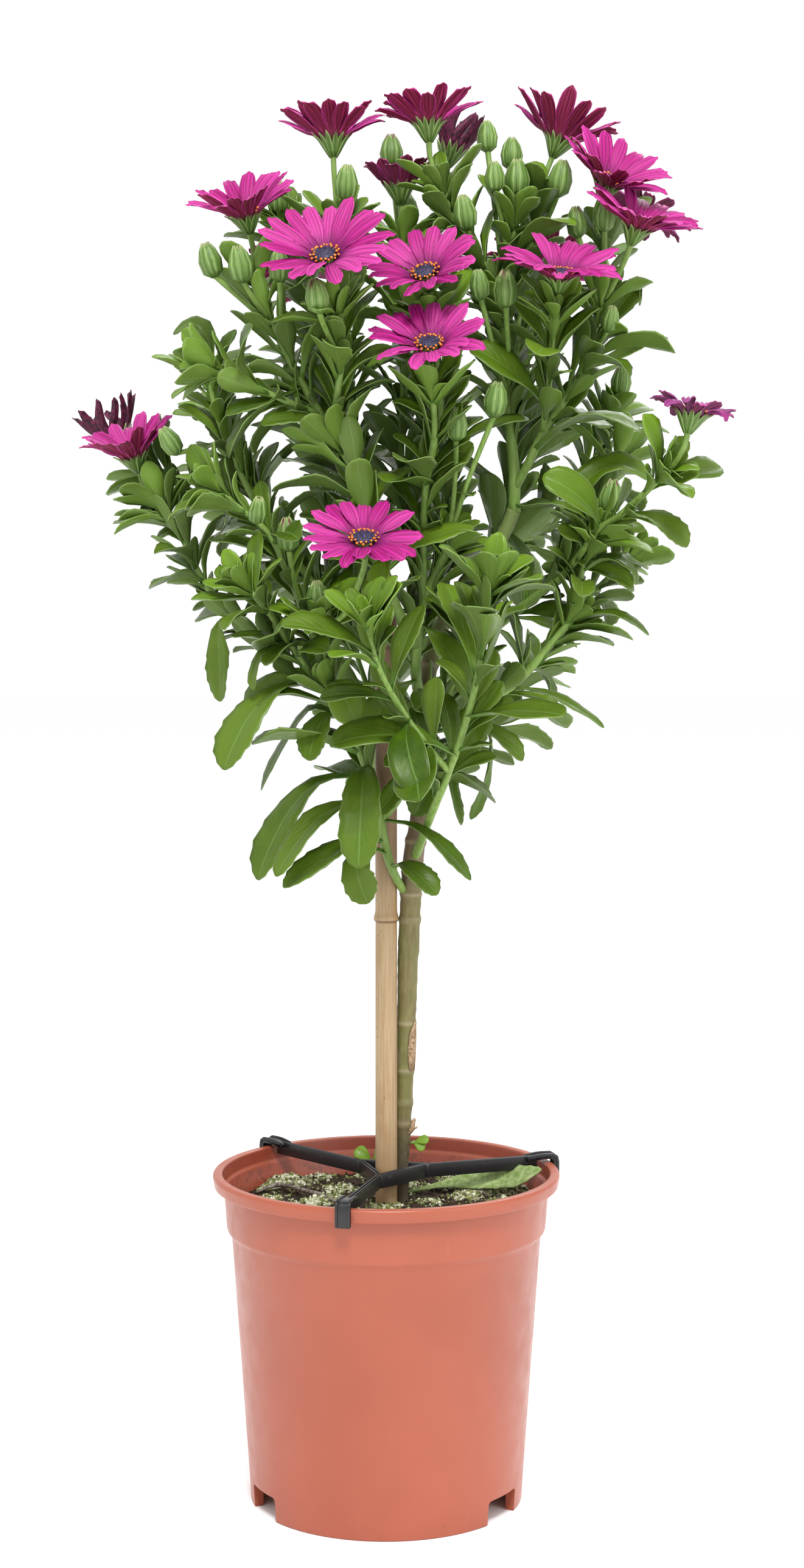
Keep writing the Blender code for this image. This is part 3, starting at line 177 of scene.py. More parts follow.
# Each bud: shoot, foot of its stalk, centre, size.
buds = [
    ("stem_upper_left", (-25, 690, 14), (-21, 715, -4), .95),
    ("stem_upper_left", (-54, 688, 25), (-57, 707, 20), .9),
    ("stem_centre", (10, 645, 16), (3, 731, 52), 1),
    ("stem_top", (63, 660, 6), (54, 739, 18), .85),
    ("stem_top", (66, 675, 7), (67, 730, 24), .9),
    ("stem_top", (65, 668, 7), (58, 718, -8), .8),
    ("stem_top", (69, 694, 5), (70, 717, 4), 1.05),
    ("stem_top", (78, 684, 22), (93, 717, 8), 1),
    ("stem_top", (52, 672, 5), (42, 699, -12), .95),
    ("stem_top", (66, 606, 4), (64, 659, -34), 1),
    ("stem_top", (66, 603, 4), (50, 661, -22), .8),
    ("stem_right_top", (113, 646, 3), (102, 694, 2), .85),
    ("stem_right_top", (114, 655, 9), (117, 697, 0), .8),
    ("stem_right_top", (107, 623, -5), (120, 643, -20), .7),
    ("stem_centre_left", (-53, 624, -22), (-57, 671, -36), .85),
    ("stem_centre_left", (-62, 642, -18), (-78, 672, -34), 1),
    ("stem_centre_left", (-60, 638, -19), (-94, 674, -26), .95),
    ("stem_centre_left", (-24, 622, -48), (-37, 655, -78), .9),
    ("stem_centre_left", (-90, 616, -46), (-99, 623, -48), .9),
    ("stem_left", (-86, 578, 9), (-116, 578, -2), .85),
    ("stem_low_left", (-72, 536, -37), (-69, 541, -52), .75),
    ("stem_low_left", (-45, 488, -26), (-53, 528, -48), .9),
    ("stem_low_left", (-35, 480, -39), (-37, 494, -46), .9),
    ("stem_centre", (33, 521, -20), (38, 587, -40), .9),
    ("stem_centre", (33, 521, -20), (59, 600, -36), .95),
    ("stem_low_right", (113, 526, -28), (121, 548, -32), .95),
    ("stem_back_left", (-88, 590, 104), (-94, 612, 106), .9),
    ("stem_back_right", (120, 590, 86), (126, 610, 88), .9),
    ("stem_back_centre", (14, 675, 52), (12, 700, 56), .9),
]

# Each leaf seen one by one: shoot, points along its midrib, width.
largeLeaves = [
    ("stem_low_left", [(-83, 486, 3), (-90, 484, -2), (-90, 465, -6), (-90, 438, -9)], 17),
    ("stem_low_left", [(-40, 449, -16), (-62, 443, -34), (-78, 424, -46), (-88, 401, -52)], 25),
    ("stem_low_left", [(-22, 430, -15), (-42, 434, -2), (-57, 412, 4), (-68, 390, 8)], 16),
    ("stem_low_left", [(-22, 430, -15), (-33, 430, -22), (-39, 418, -28), (-42, 406, -30)], 17),
    ("stem_low_left", [(-9, 398, -12), (-38, 394, -18), (-58, 370, -26), (-70, 341, -30)], 22),
    ("stem_low_left", [(-5, 384, -12), (-30, 380, -32), (-48, 362, -46), (-60, 343, -54)], 17),
    ("stem_low_left", [(-1, 362, -11.5), (-20, 361, -26), (-38, 349, -36), (-56, 337, -42)], 16),
    ("stem_low_left", [(-11, 401, -12), (-12, 399, -40), (-14, 375, -58), (-15, 347, -62)], 22),
    ("stem_low_left", [(0, 356, -11), (-8, 358, -20), (-16, 346, -25), (-10, 328, -26)], 18),
    ("stem_low_left", [(3, 348, -10), (10, 349, -22), (18, 343, -30), (28, 333, -34)], 15),
    ("stem_low_left", [(0, 372, -12), (14, 371, -24), (32, 358, -34), (46, 341, -40)], 12),
    ("stem_low_left", [(24, 421, -15), (42, 424, -22), (60, 420, -28), (74, 406, -32)], 13),
    ("stem_low_left", [(13, 397, -13), (10, 396, -26), (4, 388, -34), (-5, 376, -36)], 12),
    ("stem_low_right", [(38, 418, 1), (36, 404, -6), (36, 388, -9), (41, 371, -10)], 10),
    ("stem_low_right", [(50, 432, -3), (56, 424, 6), (55, 398, 12), (46, 374, 14)], 9),
    ("stem_low_right", [(29, 407, 4), (30, 398, -4), (22, 390, -10), (15, 376, -12)], 17),
    ("stem_low_right", [(68, 446, -8), (86, 443, -14), (104, 434, -18), (118, 424, -20)], 9),
    ("stem_low_right", [(79, 457, -10), (86, 452, 0), (89, 444, 4), (91, 432, 6)], 12),
    ("stem_low_right", [(98, 480, -15), (114, 485, -22), (128, 484, -26), (142, 474, -28)], 10),
    ("stem_low_right", [(106, 509, -23), (118, 515, -30), (131, 512, -34), (135, 501, -35)], 13),
    ("stem_centre", [(18, 479, -10), (28, 472, -34), (40, 455, -44), (46, 438, -46)], 18),
    ("stem_centre", [(17, 449, 0), (6, 444, -24), (-4, 432, -34), (-13, 415, -38)], 17),
    ("stem_low_left", [(-26, 436, -16), (-45, 441, -28), (-60, 442, -34), (-74, 434, -38)], 10),
    ("stem_low_left", [(-47, 461, -29), (-62, 466, -36), (-71, 458, -40), (-72, 444, -41)], 8),
    ("stem_low_left", [(-97, 503, 12), (-110, 506, 2), (-120, 503, -4), (-128, 499, -6)], 16),
    ("stem_low_left", [(-102, 509, 15), (-108, 518, 6), (-117, 520, 0), (-125, 518, -2)], 14),
    ("stem_low_left", [(-106, 518, 18), (-110, 528, 26), (-117, 530, 30), (-124, 525, 32)], 11),
    ("stem_right_top", [(80, 573, -6), (96, 586, -22), (114, 592, -30), (137, 583, -34)], 22),
    ("stem_right", [(88, 502, -6), (98, 540, -14), (118, 566, -18), (144, 557, -22)], 15),
    ("stem_top", [(69, 543, 3), (82, 542, -16), (98, 544, -24), (113, 533, -28)], 13),
    ("stem_centre_left", [(-25, 575, -34), (-40, 588, -44), (-54, 590, -50), (-67, 587, -52)], 12),
    ("stem_centre_left", [(-44, 607, -28), (-60, 600, -38), (-74, 597, -44), (-86, 592, -48)], 13),
    ("stem_left", [(-72, 550, 17), (-82, 574, 20), (-92, 590, 24), (-104, 591, 26)], 15),
    ("stem_left", [(-93, 602, 4), (-94, 628, 8), (-102, 641, 12), (-114, 635, 14)], 12),
    ("stem_left", [(-94, 608, 3), (-100, 612, 14), (-108, 618, 20), (-115, 623, 22)], 11),
    ("stem_right_top", [(104, 614, -6), (112, 620, -24), (124, 620, -30), (131, 612, -32)], 17),
    ("stem_right_top", [(110, 631, -4), (122, 645, 4), (134, 660, 8), (136, 650, 9)], 14),
    ("stem_right_top", [(108, 626, -5), (122, 622, 10), (136, 630, 18), (151, 633, 22)], 9),
]

goldenAngle = math.radians(137.5)
leafForm = {"width": 0.31, "petiole": 0.17, "thick": 0.55, "keel": 0.75, "spread": 1.2}
bloomForm = {"hubRadius": 6.6, "hubTall": 1.6, "rayWide": 9.4, "eyeRadius": 5.6, "calyxRadius": 5.4,
             "calyxTall": 8.0, "gap": 0.3}
budForm = {"radius": 6.9, "tall": 9.0, "bracts": 11}


def seat(place):
    x, z, y = place
    eye = camera["place"]
    k = (y - eye.y) / -eye.y
    return Vector((eye.x + (x - eye.x) * k, y, eye.z + (z - eye.z) * k))


def polar(radius, degrees, z=0.0):
    a = math.radians(degrees)
    return Vector((radius * math.cos(a), radius * math.sin(a), z))


def deselectAll():
    bpy.ops.object.select_all(action="DESELECT")


def pick(obj):
    deselectAll()
    obj.select_set(True)
    bpy.context.view_layer.objects.active = obj


def applyModifiers(obj):
    pick(obj)
    for modifier in list(obj.modifiers):
        bpy.ops.object.modifier_apply(modifier=modifier.name)


def added(name):
    # The primitive just added, with its place moved into its mesh.
    obj = bpy.context.object
    obj.name = obj.data.name = name
    bpy.ops.object.transform_apply(location=True, rotation=True, scale=True)
    return obj


def selectVerts(obj, test):
    # Edit mode with only the vertices that pass the test selected.
    pick(obj)
    bpy.ops.object.mode_set(mode="EDIT")
    bpy.ops.mesh.select_mode(type="VERT")
    bpy.ops.mesh.select_all(action="DESELECT")
    sheet = bmesh.from_edit_mesh(obj.data)
    for vert in sheet.verts:
        vert.select_set(test(vert.co))
    sheet.select_flush(True)
    bmesh.update_edit_mesh(obj.data)


def leaveEdit():
    bpy.ops.object.mode_set(mode="OBJECT")


def smooth(obj, angle=None):
    pick(obj)
    if angle is None:
        bpy.ops.object.shade_smooth()
    else:
        bpy.ops.object.shade_smooth_by_angle(angle=math.radians(angle))


def joined(name, pieces):
    deselectAll()
    for piece in pieces:
        piece.select_set(True)
    bpy.context.view_layer.objects.active = pieces[0]
    if len(pieces) > 1:
        bpy.ops.object.join()
    obj = bpy.context.view_layer.objects.active
    obj.name = obj.data.name = name
    return obj


def standsFor(obj, slotName, *nodes):
    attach(obj, "root")
    if nodes:
        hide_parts(*nodes)
    return obj


def meshObject(name, verts, edges=(), faces=()):
    # A new object from places in millimetres.
    mesh = bpy.data.meshes.new(name)
    mesh.from_pydata([[c * mm for c in vert] for vert in verts], list(edges), list(faces))
    obj = bpy.data.objects.new(name, mesh)
    bpy.context.scene.collection.objects.link(obj)
    return obj

def closed(obj, gap=0.0):
    # Merges the vertices that lie closer than the gap, and turns every face outwards.
    pick(obj)
    bpy.ops.object.mode_set(mode="EDIT")
    bpy.ops.mesh.select_all(action="SELECT")
    if gap:
        bpy.ops.mesh.remove_doubles(threshold=gap)
    bpy.ops.mesh.normals_make_consistent(inside=False)
    leaveEdit()
    return obj

def catmull(points, span):
    # Points every `span` or so along a smooth curve through the given ones, with their fractions.
    ends = [points[0] * 2 - points[1], *points, points[-1] * 2 - points[-2]]
    made = []
    for k in range(len(points) - 1):
        p0, p1, p2, p3 = ends[k:k + 4]
        steps = max(1, round((p2 - p1).length / span))
        for j in range(steps):
            t = j / steps
            made.append((.5 * (2 * p1 + (p2 - p0) * t + (2 * p0 - 5 * p1 + 4 * p2 - p3) * t * t
                               + (3 * p1 - p0 - 3 * p2 + p3) * t ** 3), (k + t) / (len(points) - 1)))
    return made + [(points[-1].copy(), 1.0)]


def throughStations(points, rows, wanted):
    # The smooth curve through points that stand at the fractions `rows`, read at `wanted`.
    ends = [points[0] * 2 - points[1], *points, points[-1] * 2 - points[-2]]
    made = []
    for t in wanted:
        k = max(0, min(len(rows) - 2, sum(1 for r in rows if r <= t) - 1))
        u = (t - rows[k]) / (rows[k + 1] - rows[k])
        p0, p1, p2, p3 = ends[k:k + 4]
        made.append(.5 * (2 * p1 + (p2 - p0) * u + (2 * p0 - 5 * p1 + 4 * p2 - p3) * u * u
                          + (3 * p1 - p0 - 3 * p2 + p3) * u ** 3))
    return made


def tubes(name, lines, sides=2):
    # Round stems along lines of (points, radii) in one mesh: `sides` is the bevel resolution.
    curve = bpy.data.curves.new(name, "CURVE")
    curve.dimensions, curve.use_fill_caps = "3D", True
    curve.bevel_depth, curve.bevel_resolution = mm, sides
    for points, radii in lines:
        line = curve.splines.new("POLY")
        line.points.add(len(points) - 1)
        for spot, point, radius in zip(line.points, points, radii):
            spot.co, spot.radius = (*point * mm, 1), radius
    obj = bpy.data.objects.new(name, curve)
    bpy.context.scene.collection.objects.link(obj)
    pick(obj)
    bpy.ops.object.convert(target="MESH")
    return closed(bpy.context.object, 1e-6)


def lathe(name, profile, steps):
    # A profile of (radius, height) spun round the pot's axis.
    obj = meshObject(name, [(r, 0, z) for r, z in profile], [(k, k + 1) for k in range(len(profile) - 1)])
    pick(obj)
    bpy.ops.object.mode_set(mode="EDIT")
    bpy.ops.mesh.select_all(action="SELECT")
    bpy.ops.mesh.spin(steps=steps, angle=2 * math.pi, center=(0, 0, 0), axis=(0, 0, 1))
    leaveEdit()
    return closed(obj, 1e-5)

def rounded(profile, corners, steps=5):
    # The profile with an arc of the given radius in place of each numbered corner.
    made = []
    for k, (r, z) in enumerate(profile):
        if k not in corners:
            made.append((r, z))
            continue
        here = Vector((r, z))
        back, on = Vector(profile[k - 1]) - here, Vector(profile[k + 1]) - here
        reach = min(corners[k], back.length * .48, on.length * .48)
        first, last = here + back.normalized() * reach, here + on.normalized() * reach
        for j in range(steps + 1):
            t = j / steps
            spot = first * (1 - t) ** 2 + here * 2 * t * (1 - t) + last * t * t
            made.append((spot.x, spot.y))
    return made


def startMaterial(name, roughness=.5, **sockets):
    made = bpy.data.materials.new(name)
    made.use_nodes = True
    shader = made.node_tree.nodes["Principled BSDF"]
    shader.inputs["Roughness"].default_value = roughness
    for socket, value in sockets.items():
        shader.inputs[socket.replace("_", " ")].default_value = value
    return made, made.node_tree, shader


def feed(tree, socket, value):
    if isinstance(value, bpy.types.NodeSocket):
        tree.links.new(value, socket)
    elif isinstance(value, tuple) and len(value) == 3 and socket.type == "RGBA":
        socket.default_value = (*value, 1)
    else:
        socket.default_value = value


def place(tree, stretch=(1, 1, 1)):
    # Object coordinates, in millimetres times the stretch.
    coords = tree.nodes.new("ShaderNodeTexCoord")
    scaled = tree.nodes.new("ShaderNodeMapping")
    tree.links.new(coords.outputs["Object"], scaled.inputs["Vector"])
    scaled.inputs["Scale"].default_value = [1000 * s for s in stretch]
    return scaled.outputs["Vector"]


def grain(tree, coords, size, detail=4.0, rough=.55):
    made = tree.nodes.new("ShaderNodeTexNoise")
    tree.links.new(coords, made.inputs["Vector"])
    for socket, value in (("Scale", 1 / size), ("Detail", detail), ("Roughness", rough)):
        made.inputs[socket].default_value = value
    return made.outputs["Fac"]


def cells(tree, coords, size):
    made = tree.nodes.new("ShaderNodeTexVoronoi")
    tree.links.new(coords, made.inputs["Vector"])
    made.inputs["Scale"].default_value = 1 / size
    return made.outputs["Distance"]


def attribute(tree, name):
    made = tree.nodes.new("ShaderNodeAttribute")
    made.attribute_name = name
    return made.outputs["Fac"]


def sheetUv(tree):
    made = tree.nodes.new("ShaderNodeUVMap")
    made.uv_map = "sheet"
    split = tree.nodes.new("ShaderNodeSeparateXYZ")
    tree.links.new(made.outputs["UV"], split.inputs["Vector"])
    return split.outputs["X"], split.outputs["Y"], made.outputs["UV"]


def figure(tree, operation, *values):
    made = tree.nodes.new("ShaderNodeMath")
    made.operation = operation
    for socket, value in zip(made.inputs, values):
        feed(tree, socket, value)
    return made.outputs["Value"]


def times(tree, value, share):
    return figure(tree, "MULTIPLY", value, share)

def offMiddle(tree, value, middle=.5):
    # How far the value is from the middle: across a leaf, 0 at the midrib and .5 at the edge.
    return figure(tree, "ABSOLUTE", figure(tree, "SUBTRACT", value, middle))

def heightIn(tree, coords):
    split = tree.nodes.new("ShaderNodeSeparateXYZ")
    tree.links.new(coords, split.inputs["Vector"])
    return split.outputs["Z"]

def span(tree, value, low, high, start=0.0, end=1.0):
    made = tree.nodes.new("ShaderNodeMapRange")
    made.interpolation_type = "SMOOTHSTEP"
    for socket, item in zip(("Value", "From Min", "From Max", "To Min", "To Max"), (value, low, high, start, end)):
        feed(tree, made.inputs[socket], item)
    return made.outputs["Result"]


def blendColour(tree, factor, first, second):
    made = tree.nodes.new("ShaderNodeMix")
    made.data_type = "RGBA"
    feed(tree, made.inputs["Factor"], factor)
    feed(tree, made.inputs[6], first)
    feed(tree, made.inputs[7], second)
    return made.outputs[2]


def relief(tree, shader, height, strength, distance):
    made = tree.nodes.new("ShaderNodeBump")
    made.inputs["Strength"].default_value = strength
    made.inputs["Distance"].default_value = distance * mm
    tree.links.new(height, made.inputs["Height"])
    tree.links.new(made.outputs["Normal"], shader.inputs["Normal"])


def colour(tree, shader, value):
    tree.links.new(value, shader.inputs["Base Color"])


def roughness(tree, shader, value):
    tree.links.new(value, shader.inputs["Roughness"])


def leafFinish():
    made, tree, shader = startMaterial("leafGreen", .42, Specular_IOR_Level=.24)
    across, along, _ = sheetUv(tree)
    coords = place(tree)
    rib = offMiddle(tree, across)
    mottle = grain(tree, coords, 14, 4)
    tone = attribute(tree, "tone")
    under = attribute(tree, "under")
    young = attribute(tree, "young")
    green = blendColour(tree, span(tree, mottle, .3, .72), (.027, .062, .001), (.055, .108, .003))
    green = blendColour(tree, tone, green, (.104, .170, .014))
    green = blendColour(tree, young, green, (.150, .272, .016))
    below = blendColour(tree, young, (.092, .146, .030), (.150, .258, .034))
    green = blendColour(tree, under, green, below)
    # side veins leave the midrib forwards
    slant = figure(tree, "SUBTRACT", times(tree, along, 9.0), times(tree, rib, 7.0))
    vein = offMiddle(tree, figure(tree, "FRACT", slant))
    vein = span(tree, vein, .0, .09, 1, 0)
    vein = times(tree, vein, span(tree, rib, .03, .42, 1, 0))
    green = blendColour(tree, times(tree, vein, .22), green, (.125, .250, .047))
    green = blendColour(tree, times(tree, span(tree, rib, .0, .035, 1, 0), .55), green, (.156, .281, .070))
    edge = span(tree, rib, .462, .497)
    green = blendColour(tree, times(tree, edge, .55), green, (.211, .312, .101))
    green = blendColour(tree, span(tree, along, .0, .3, .65, 0), green, (.117, .242, .043))
    colour(tree, shader, green)
    fine = grain(tree, coords, 1.1, 3)
    roughness(tree, shader, span(tree, grain(tree, coords, 6, 3), .25, .8, .27, .48))
    height = figure(tree, "SUBTRACT", times(tree, fine, .35), times(tree, vein, .5))
    relief(tree, shader, height, .55, .35)
    return made


def stemFinish():
    made, tree, shader = startMaterial("stemGreen", .5, Specular_IOR_Level=.4)
    coords = place(tree, (1, 1, .22))
    streak = grain(tree, coords, 2.2, 5)
    patch = grain(tree, place(tree), 22, 2)
    green = blendColour(tree, span(tree, streak, .3, .7), (.135, .238, .033), (.230, .353, .082))
    green = blendColour(tree, span(tree, patch, .35, .7, 0, .6), green, (.172, .271, .061))
    colour(tree, shader, green)
    relief(tree, shader, streak, .5, .3)
    return made


def bractFinish():
    made, tree, shader = startMaterial("bractGreen", .5, Specular_IOR_Level=.4)
    across, along, _ = sheetUv(tree)
    rib = offMiddle(tree, across)
    tone, young = attribute(tree, "tone"), attribute(tree, "young")
    green = blendColour(tree, grain(tree, place(tree), 2.5, 3), (.070, .143, .018), (.123, .221, .037))
    green = blendColour(tree, young, green, (.164, .283, .061))
    green = blendColour(tree, span(tree, rib, .24, .47), green, (.254, .353, .123))
    green = blendColour(tree, span(tree, rib, .02, .10, .75, 0), green, (.037, .086, .016))
    green = blendColour(tree, span(tree, along, .84, .98), green, (.328, .377, .164))
    tip = times(tree, span(tree, along, .66, .95), span(tree, tone, .72, .78))
    green = blendColour(tree, tip, green, (.123, .029, .037))
    colour(tree, shader, green)
    relief(tree, shader, span(tree, rib, .0, .4), .4, .3)
    return made


def petalFinish():
    made, tree, shader = startMaterial("petalMagenta", .5, Specular_IOR_Level=.22)
    across, along, uv = sheetUv(tree)
    rib = offMiddle(tree, across)
    tone, under, faded = attribute(tree, "tone"), attribute(tree, "under"), attribute(tree, "young")
    stripes = tree.nodes.new("ShaderNodeMapping")
    tree.links.new(uv, stripes.inputs["Vector"])
    stripes.inputs["Scale"].default_value = (8.0, .5, 1)
    veins = grain(tree, stripes.outputs["Vector"], 1.0, 5, .6)
    # five darker veins run the length of the face
    five = offMiddle(tree, figure(tree, "FRACT", times(tree, across, 5.0)))
    line = times(tree, span(tree, five, .0, .20, .62, 0), span(tree, along, .85, 1, 1, 0))
    face = blendColour(tree, span(tree, veins, .40, .60), (.215, .003, .090), (.480, .013, .238))
    face = blendColour(tree, times(tree, tone, .55), face, (.680, .090, .410))
    face = blendColour(tree, line, face, (.190, .003, .085))
    face = blendColour(tree, span(tree, along, .04, .46, .96, 0), face, (.090, .003, .062))
    face = blendColour(tree, span(tree, rib, .41, .5, 0, .4), face, (.689, .084, .462))
    face = blendColour(tree, times(tree, faded, .8), face, (.175, .040, .150))
    back = blendColour(tree, span(tree, veins, .34, .64), (.110, .007, .024), (.370, .030, .112))
    back = blendColour(tree, span(tree, five, .0, .2, .5, 0), back, (.046, .003, .012))
    back = blendColour(tree, span(tree, rib, .34, .5, 0, .85), back, (.560, .050, .270))
    back = blendColour(tree, span(tree, along, .03, .24, .8, 0), back, (.101, .084, .029))
    back = blendColour(tree, times(tree, faded, .7), back, (.150, .060, .140))
    colour(tree, shader, blendColour(tree, under, face, back))
    relief(tree, shader, figure(tree, "SUBTRACT", veins, line), .5, .35)
    return made


def wiltedFinish():
    made, tree, shader = startMaterial("wiltedPetal", .6)
    veins = grain(tree, place(tree), 2.0, 5)
    dark = blendColour(tree, span(tree, veins, .35, .65), (.022, .002, .010), (.150, .006, .055))
    colour(tree, shader, dark)
    relief(tree, shader, veins, .6, .5)
    return made


def floretFinish():
    made, tree, shader = startMaterial("floretViolet", .55)
    tint = grain(tree, place(tree), 1.2, 3)
    colour(tree, shader, blendColour(tree, span(tree, tint, .35, .65), (.012, .012, .035), (.075, .06, .13)))
    relief(tree, shader, tint, .4, .2)
    return made


def antherFinish():
    made, tree, shader = startMaterial("antherOrange", .6)
    tint = grain(tree, place(tree), .8, 3)
    colour(tree, shader, blendColour(tree, span(tree, tint, .35, .65), (.55, .10, .01), (.95, .32, .03)))
    relief(tree, shader, tint, .4, .15)
    return made


def barkFinish():
    made, tree, shader = startMaterial("bark", .62)
    streak = grain(tree, place(tree, (1, 1, .2)), 2.2, 7, .6)
    patch = grain(tree, place(tree, (1, 1, .5)), 14, 4)
    speck = cells(tree, place(tree, (1, 1, .7)), 3.4)
    high = heightIn(tree, place(tree))
    bark = blendColour(tree, span(tree, streak, .3, .7), (.140, .112, .036), (.222, .182, .074))
    bark = blendColour(tree, span(tree, patch, .40, .60, 0, .6), bark, (.152, .164, .041))
    bark = blendColour(tree, span(tree, patch, .62, .72, 0, .7), bark, (.295, .230, .139))
    bark = blendColour(tree, span(tree, high, 186, 222, .85, 0), bark, (.061, .043, .025))
    bark = blendColour(tree, span(tree, high, 322, 350, 0, .7), bark, (.164, .102, .070))
    bark = blendColour(tree, span(tree, high, 430, 500, 0, .9), bark, (.156, .221, .053))
    bark = blendColour(tree, span(tree, speck, .05, .13, .55, 0), bark, (.279, .221, .139))
    # the scars of old leaves are pale rings
    ring = attribute(tree, "ring")
    bark = blendColour(tree, times(tree, ring, .75), bark, (.328, .271, .164))
    colour(tree, shader, bark)
    relief(tree, shader, streak, .6, .4)
    return made


def caneFinish():
    made, tree, shader = startMaterial("bamboo", .5, Specular_IOR_Level=.45)
    streak = grain(tree, place(tree, (1, 1, .035)), 1.1, 6, .6)
    patch = grain(tree, place(tree, (1, 1, .4)), 15, 4)
    speck = cells(tree, place(tree, (1, 1, .5)), 4.2)
    high = heightIn(tree, place(tree))
    wood = blendColour(tree, span(tree, streak, .28, .72), (.342, .224, .115), (.462, .332, .190))
    wood = blendColour(tree, span(tree, patch, .48, .72, 0, .6), wood, (.336, .188, .072))
    wood = blendColour(tree, span(tree, high, 319, 380, 0, .8), wood, (.264, .148, .092))
    seam = offMiddle(tree, high, 318.6)
    wood = blendColour(tree, span(tree, seam, .3, 1.1, .75, 0), wood, (.128, .064, .032))
    wood = blendColour(tree, span(tree, high, 162, 205, .55, 0), wood, (.272, .168, .080))
    wood = blendColour(tree, span(tree, speck, .04, .10, .8, 0), wood, (.080, .040, .020))
    colour(tree, shader, wood)
    relief(tree, shader, streak, .35, .25)
    return made


def potFinish():
    made, tree, shader = startMaterial("terracottaPlastic", .36, Specular_IOR_Level=.5)
    coords = place(tree)
    cloud = grain(tree, coords, 70, 3)
    high = heightIn(tree, coords)
    shell = blendColour(tree, span(tree, cloud, .3, .7), (.336, .077, .038), (.370, .087, .044))
    # faint upright rubs, and dirt splashed round the feet
    rub = span(tree, grain(tree, place(tree, (1, 1, .06)), 5.0, 6, .7), .62, .74)
    shell = blendColour(tree, times(tree, rub, .10), shell, (.553, .253, .174))
    dirt = times(tree, span(tree, grain(tree, coords, 1.6, 5, .6), .64, .70),
                  span(tree, high, 2, 17, 1, 0))
    shell = blendColour(tree, times(tree, dirt, .8), shell, (.055, .040, .028))
    # the inner wall is painted darker as shade inside the pot, with soil and lime on it
    inner = attribute(tree, "inner")
    # painted shade: the whole inner wall is darkened, since shade falls inside the pot
    shell = blendColour(tree, times(tree, inner, .6), shell, (.237, .032, .016))
    low = times(tree, inner, span(tree, high, 160, 177, 1, .12))
    soiled = times(tree, low, span(tree, grain(tree, coords, 4.2, 6, .65), .48, .60))
    shell = blendColour(tree, times(tree, soiled, .8), shell, (.036, .021, .013))
    lime = times(tree, low, span(tree, grain(tree, coords, 1.5, 5, .7), .60, .68))
    shell = blendColour(tree, times(tree, lime, .7), shell, (.395, .332, .261))
    colour(tree, shader, shell)
    roughness(tree, shader, span(tree, grain(tree, coords, 12, 4), .3, .7, .32, .42))
    relief(tree, shader, grain(tree, coords, 1.3, 4), .08, .1)
    return made


def soilFinish():
    made, tree, shader = startMaterial("peat", .95, Specular_IOR_Level=.2)
    coords = place(tree)
    crumb, patch = grain(tree, coords, 2.0, 8, .7), grain(tree, coords, 15, 5)
    moss = attribute(tree, "moss")
    peat = blendColour(tree, span(tree, crumb, .35, .65), (.012, .008, .005), (.075, .048, .03))
    crust = blendColour(tree, span(tree, crumb, .38, .6), (.095, .095, .030), (.44, .43, .24))
    crust = blendColour(tree, span(tree, patch, .42, .60, 0, .8), crust, (.60, .60, .42))
    mask = span(tree, figure(tree, "ADD", moss, times(tree, crumb, .5)), .55, .85)
    colour(tree, shader, blendColour(tree, mask, peat, crust))
    relief(tree, shader, crumb, 1.0, 1.6)
    return made


def crumbFinish(name, low, high, size=1.6):
    made, tree, shader = startMaterial(name, .9, Specular_IOR_Level=.25)
    tint = grain(tree, place(tree), size, 5, .65)
    big = grain(tree, place(tree), 9, 3)
    mixed = blendColour(tree, span(tree, tint, .36, .64), low, high)
    colour(tree, shader, blendColour(tree, span(tree, big, .4, .65, 0, .6), mixed, low))
    relief(tree, shader, tint, .8, .6)
    return made


def plasticFinish():
    made, tree, shader = startMaterial("blackPlastic", .38, Specular_IOR_Level=.5)
    coords = place(tree)
    dust = span(tree, grain(tree, coords, 2.6, 6, .7), .60, .72)
    black = blendColour(tree, grain(tree, coords, 20, 3), (.008, .008, .009), (.016, .016, .018))
    colour(tree, shader, blendColour(tree, times(tree, dust, .5), black, (.09, .085, .08)))
    roughness(tree, shader, span(tree, dust, 0, 1, .34, .6))
    relief(tree, shader, grain(tree, coords, .9, 3), .15, .1)
    return made


finish = {
    "leaf": leafFinish(), "stem": stemFinish(), "bract": bractFinish(), "petal": petalFinish(),
    "wilted": wiltedFinish(), "floret": floretFinish(), "anther": antherFinish(), "bark": barkFinish(),
    "hair": crumbFinish("stalkHair", (.55, .60, .45), (.80, .82, .72)),
    "cane": caneFinish(), "pot": potFinish(), "soil": soilFinish(), "plastic": plasticFinish(),
    "peatCrumb": crumbFinish("peatCrumb", (.012, .008, .005), (.085, .055, .034)),
    "mossCrumb": crumbFinish("mossCrumb", (.06, .075, .018), (.31, .34, .12)),
    "lichenCrumb": crumbFinish("lichenCrumb", (.30, .30, .16), (.78, .78, .64)),
    "twig": crumbFinish("twigGrey", (.07, .055, .042), (.30, .26, .22), 2.2),
    "fadedLeaf": crumbFinish("fadedLeaf", (.17, .25, .07), (.36, .44, .20), 3.5),
    "scar": crumbFinish("dryBract", (.22, .13, .07), (.52, .38, .24), 1.2)}
print("finishes made")


# What is repeated: each template lies along +Y from 0 to 1, its width across X from -.5 to .5,
# and its thickness, which only tells its two sides apart, in Z.
sheetThick = .01

def grid(name, columns, rows):
    deselectAll()
    bpy.ops.mesh.primitive_grid_add(x_subdivisions=columns, y_subdivisions=len(rows) - 1, size=1)
    obj = added(name)
    coords = readCoords(obj)
    order = np.round((coords[:, 1] + .5) * (len(rows) - 1)).astype(int)
    coords[:, 1] = np.array(rows)[order]
    writeCoords(obj, coords)
    return obj


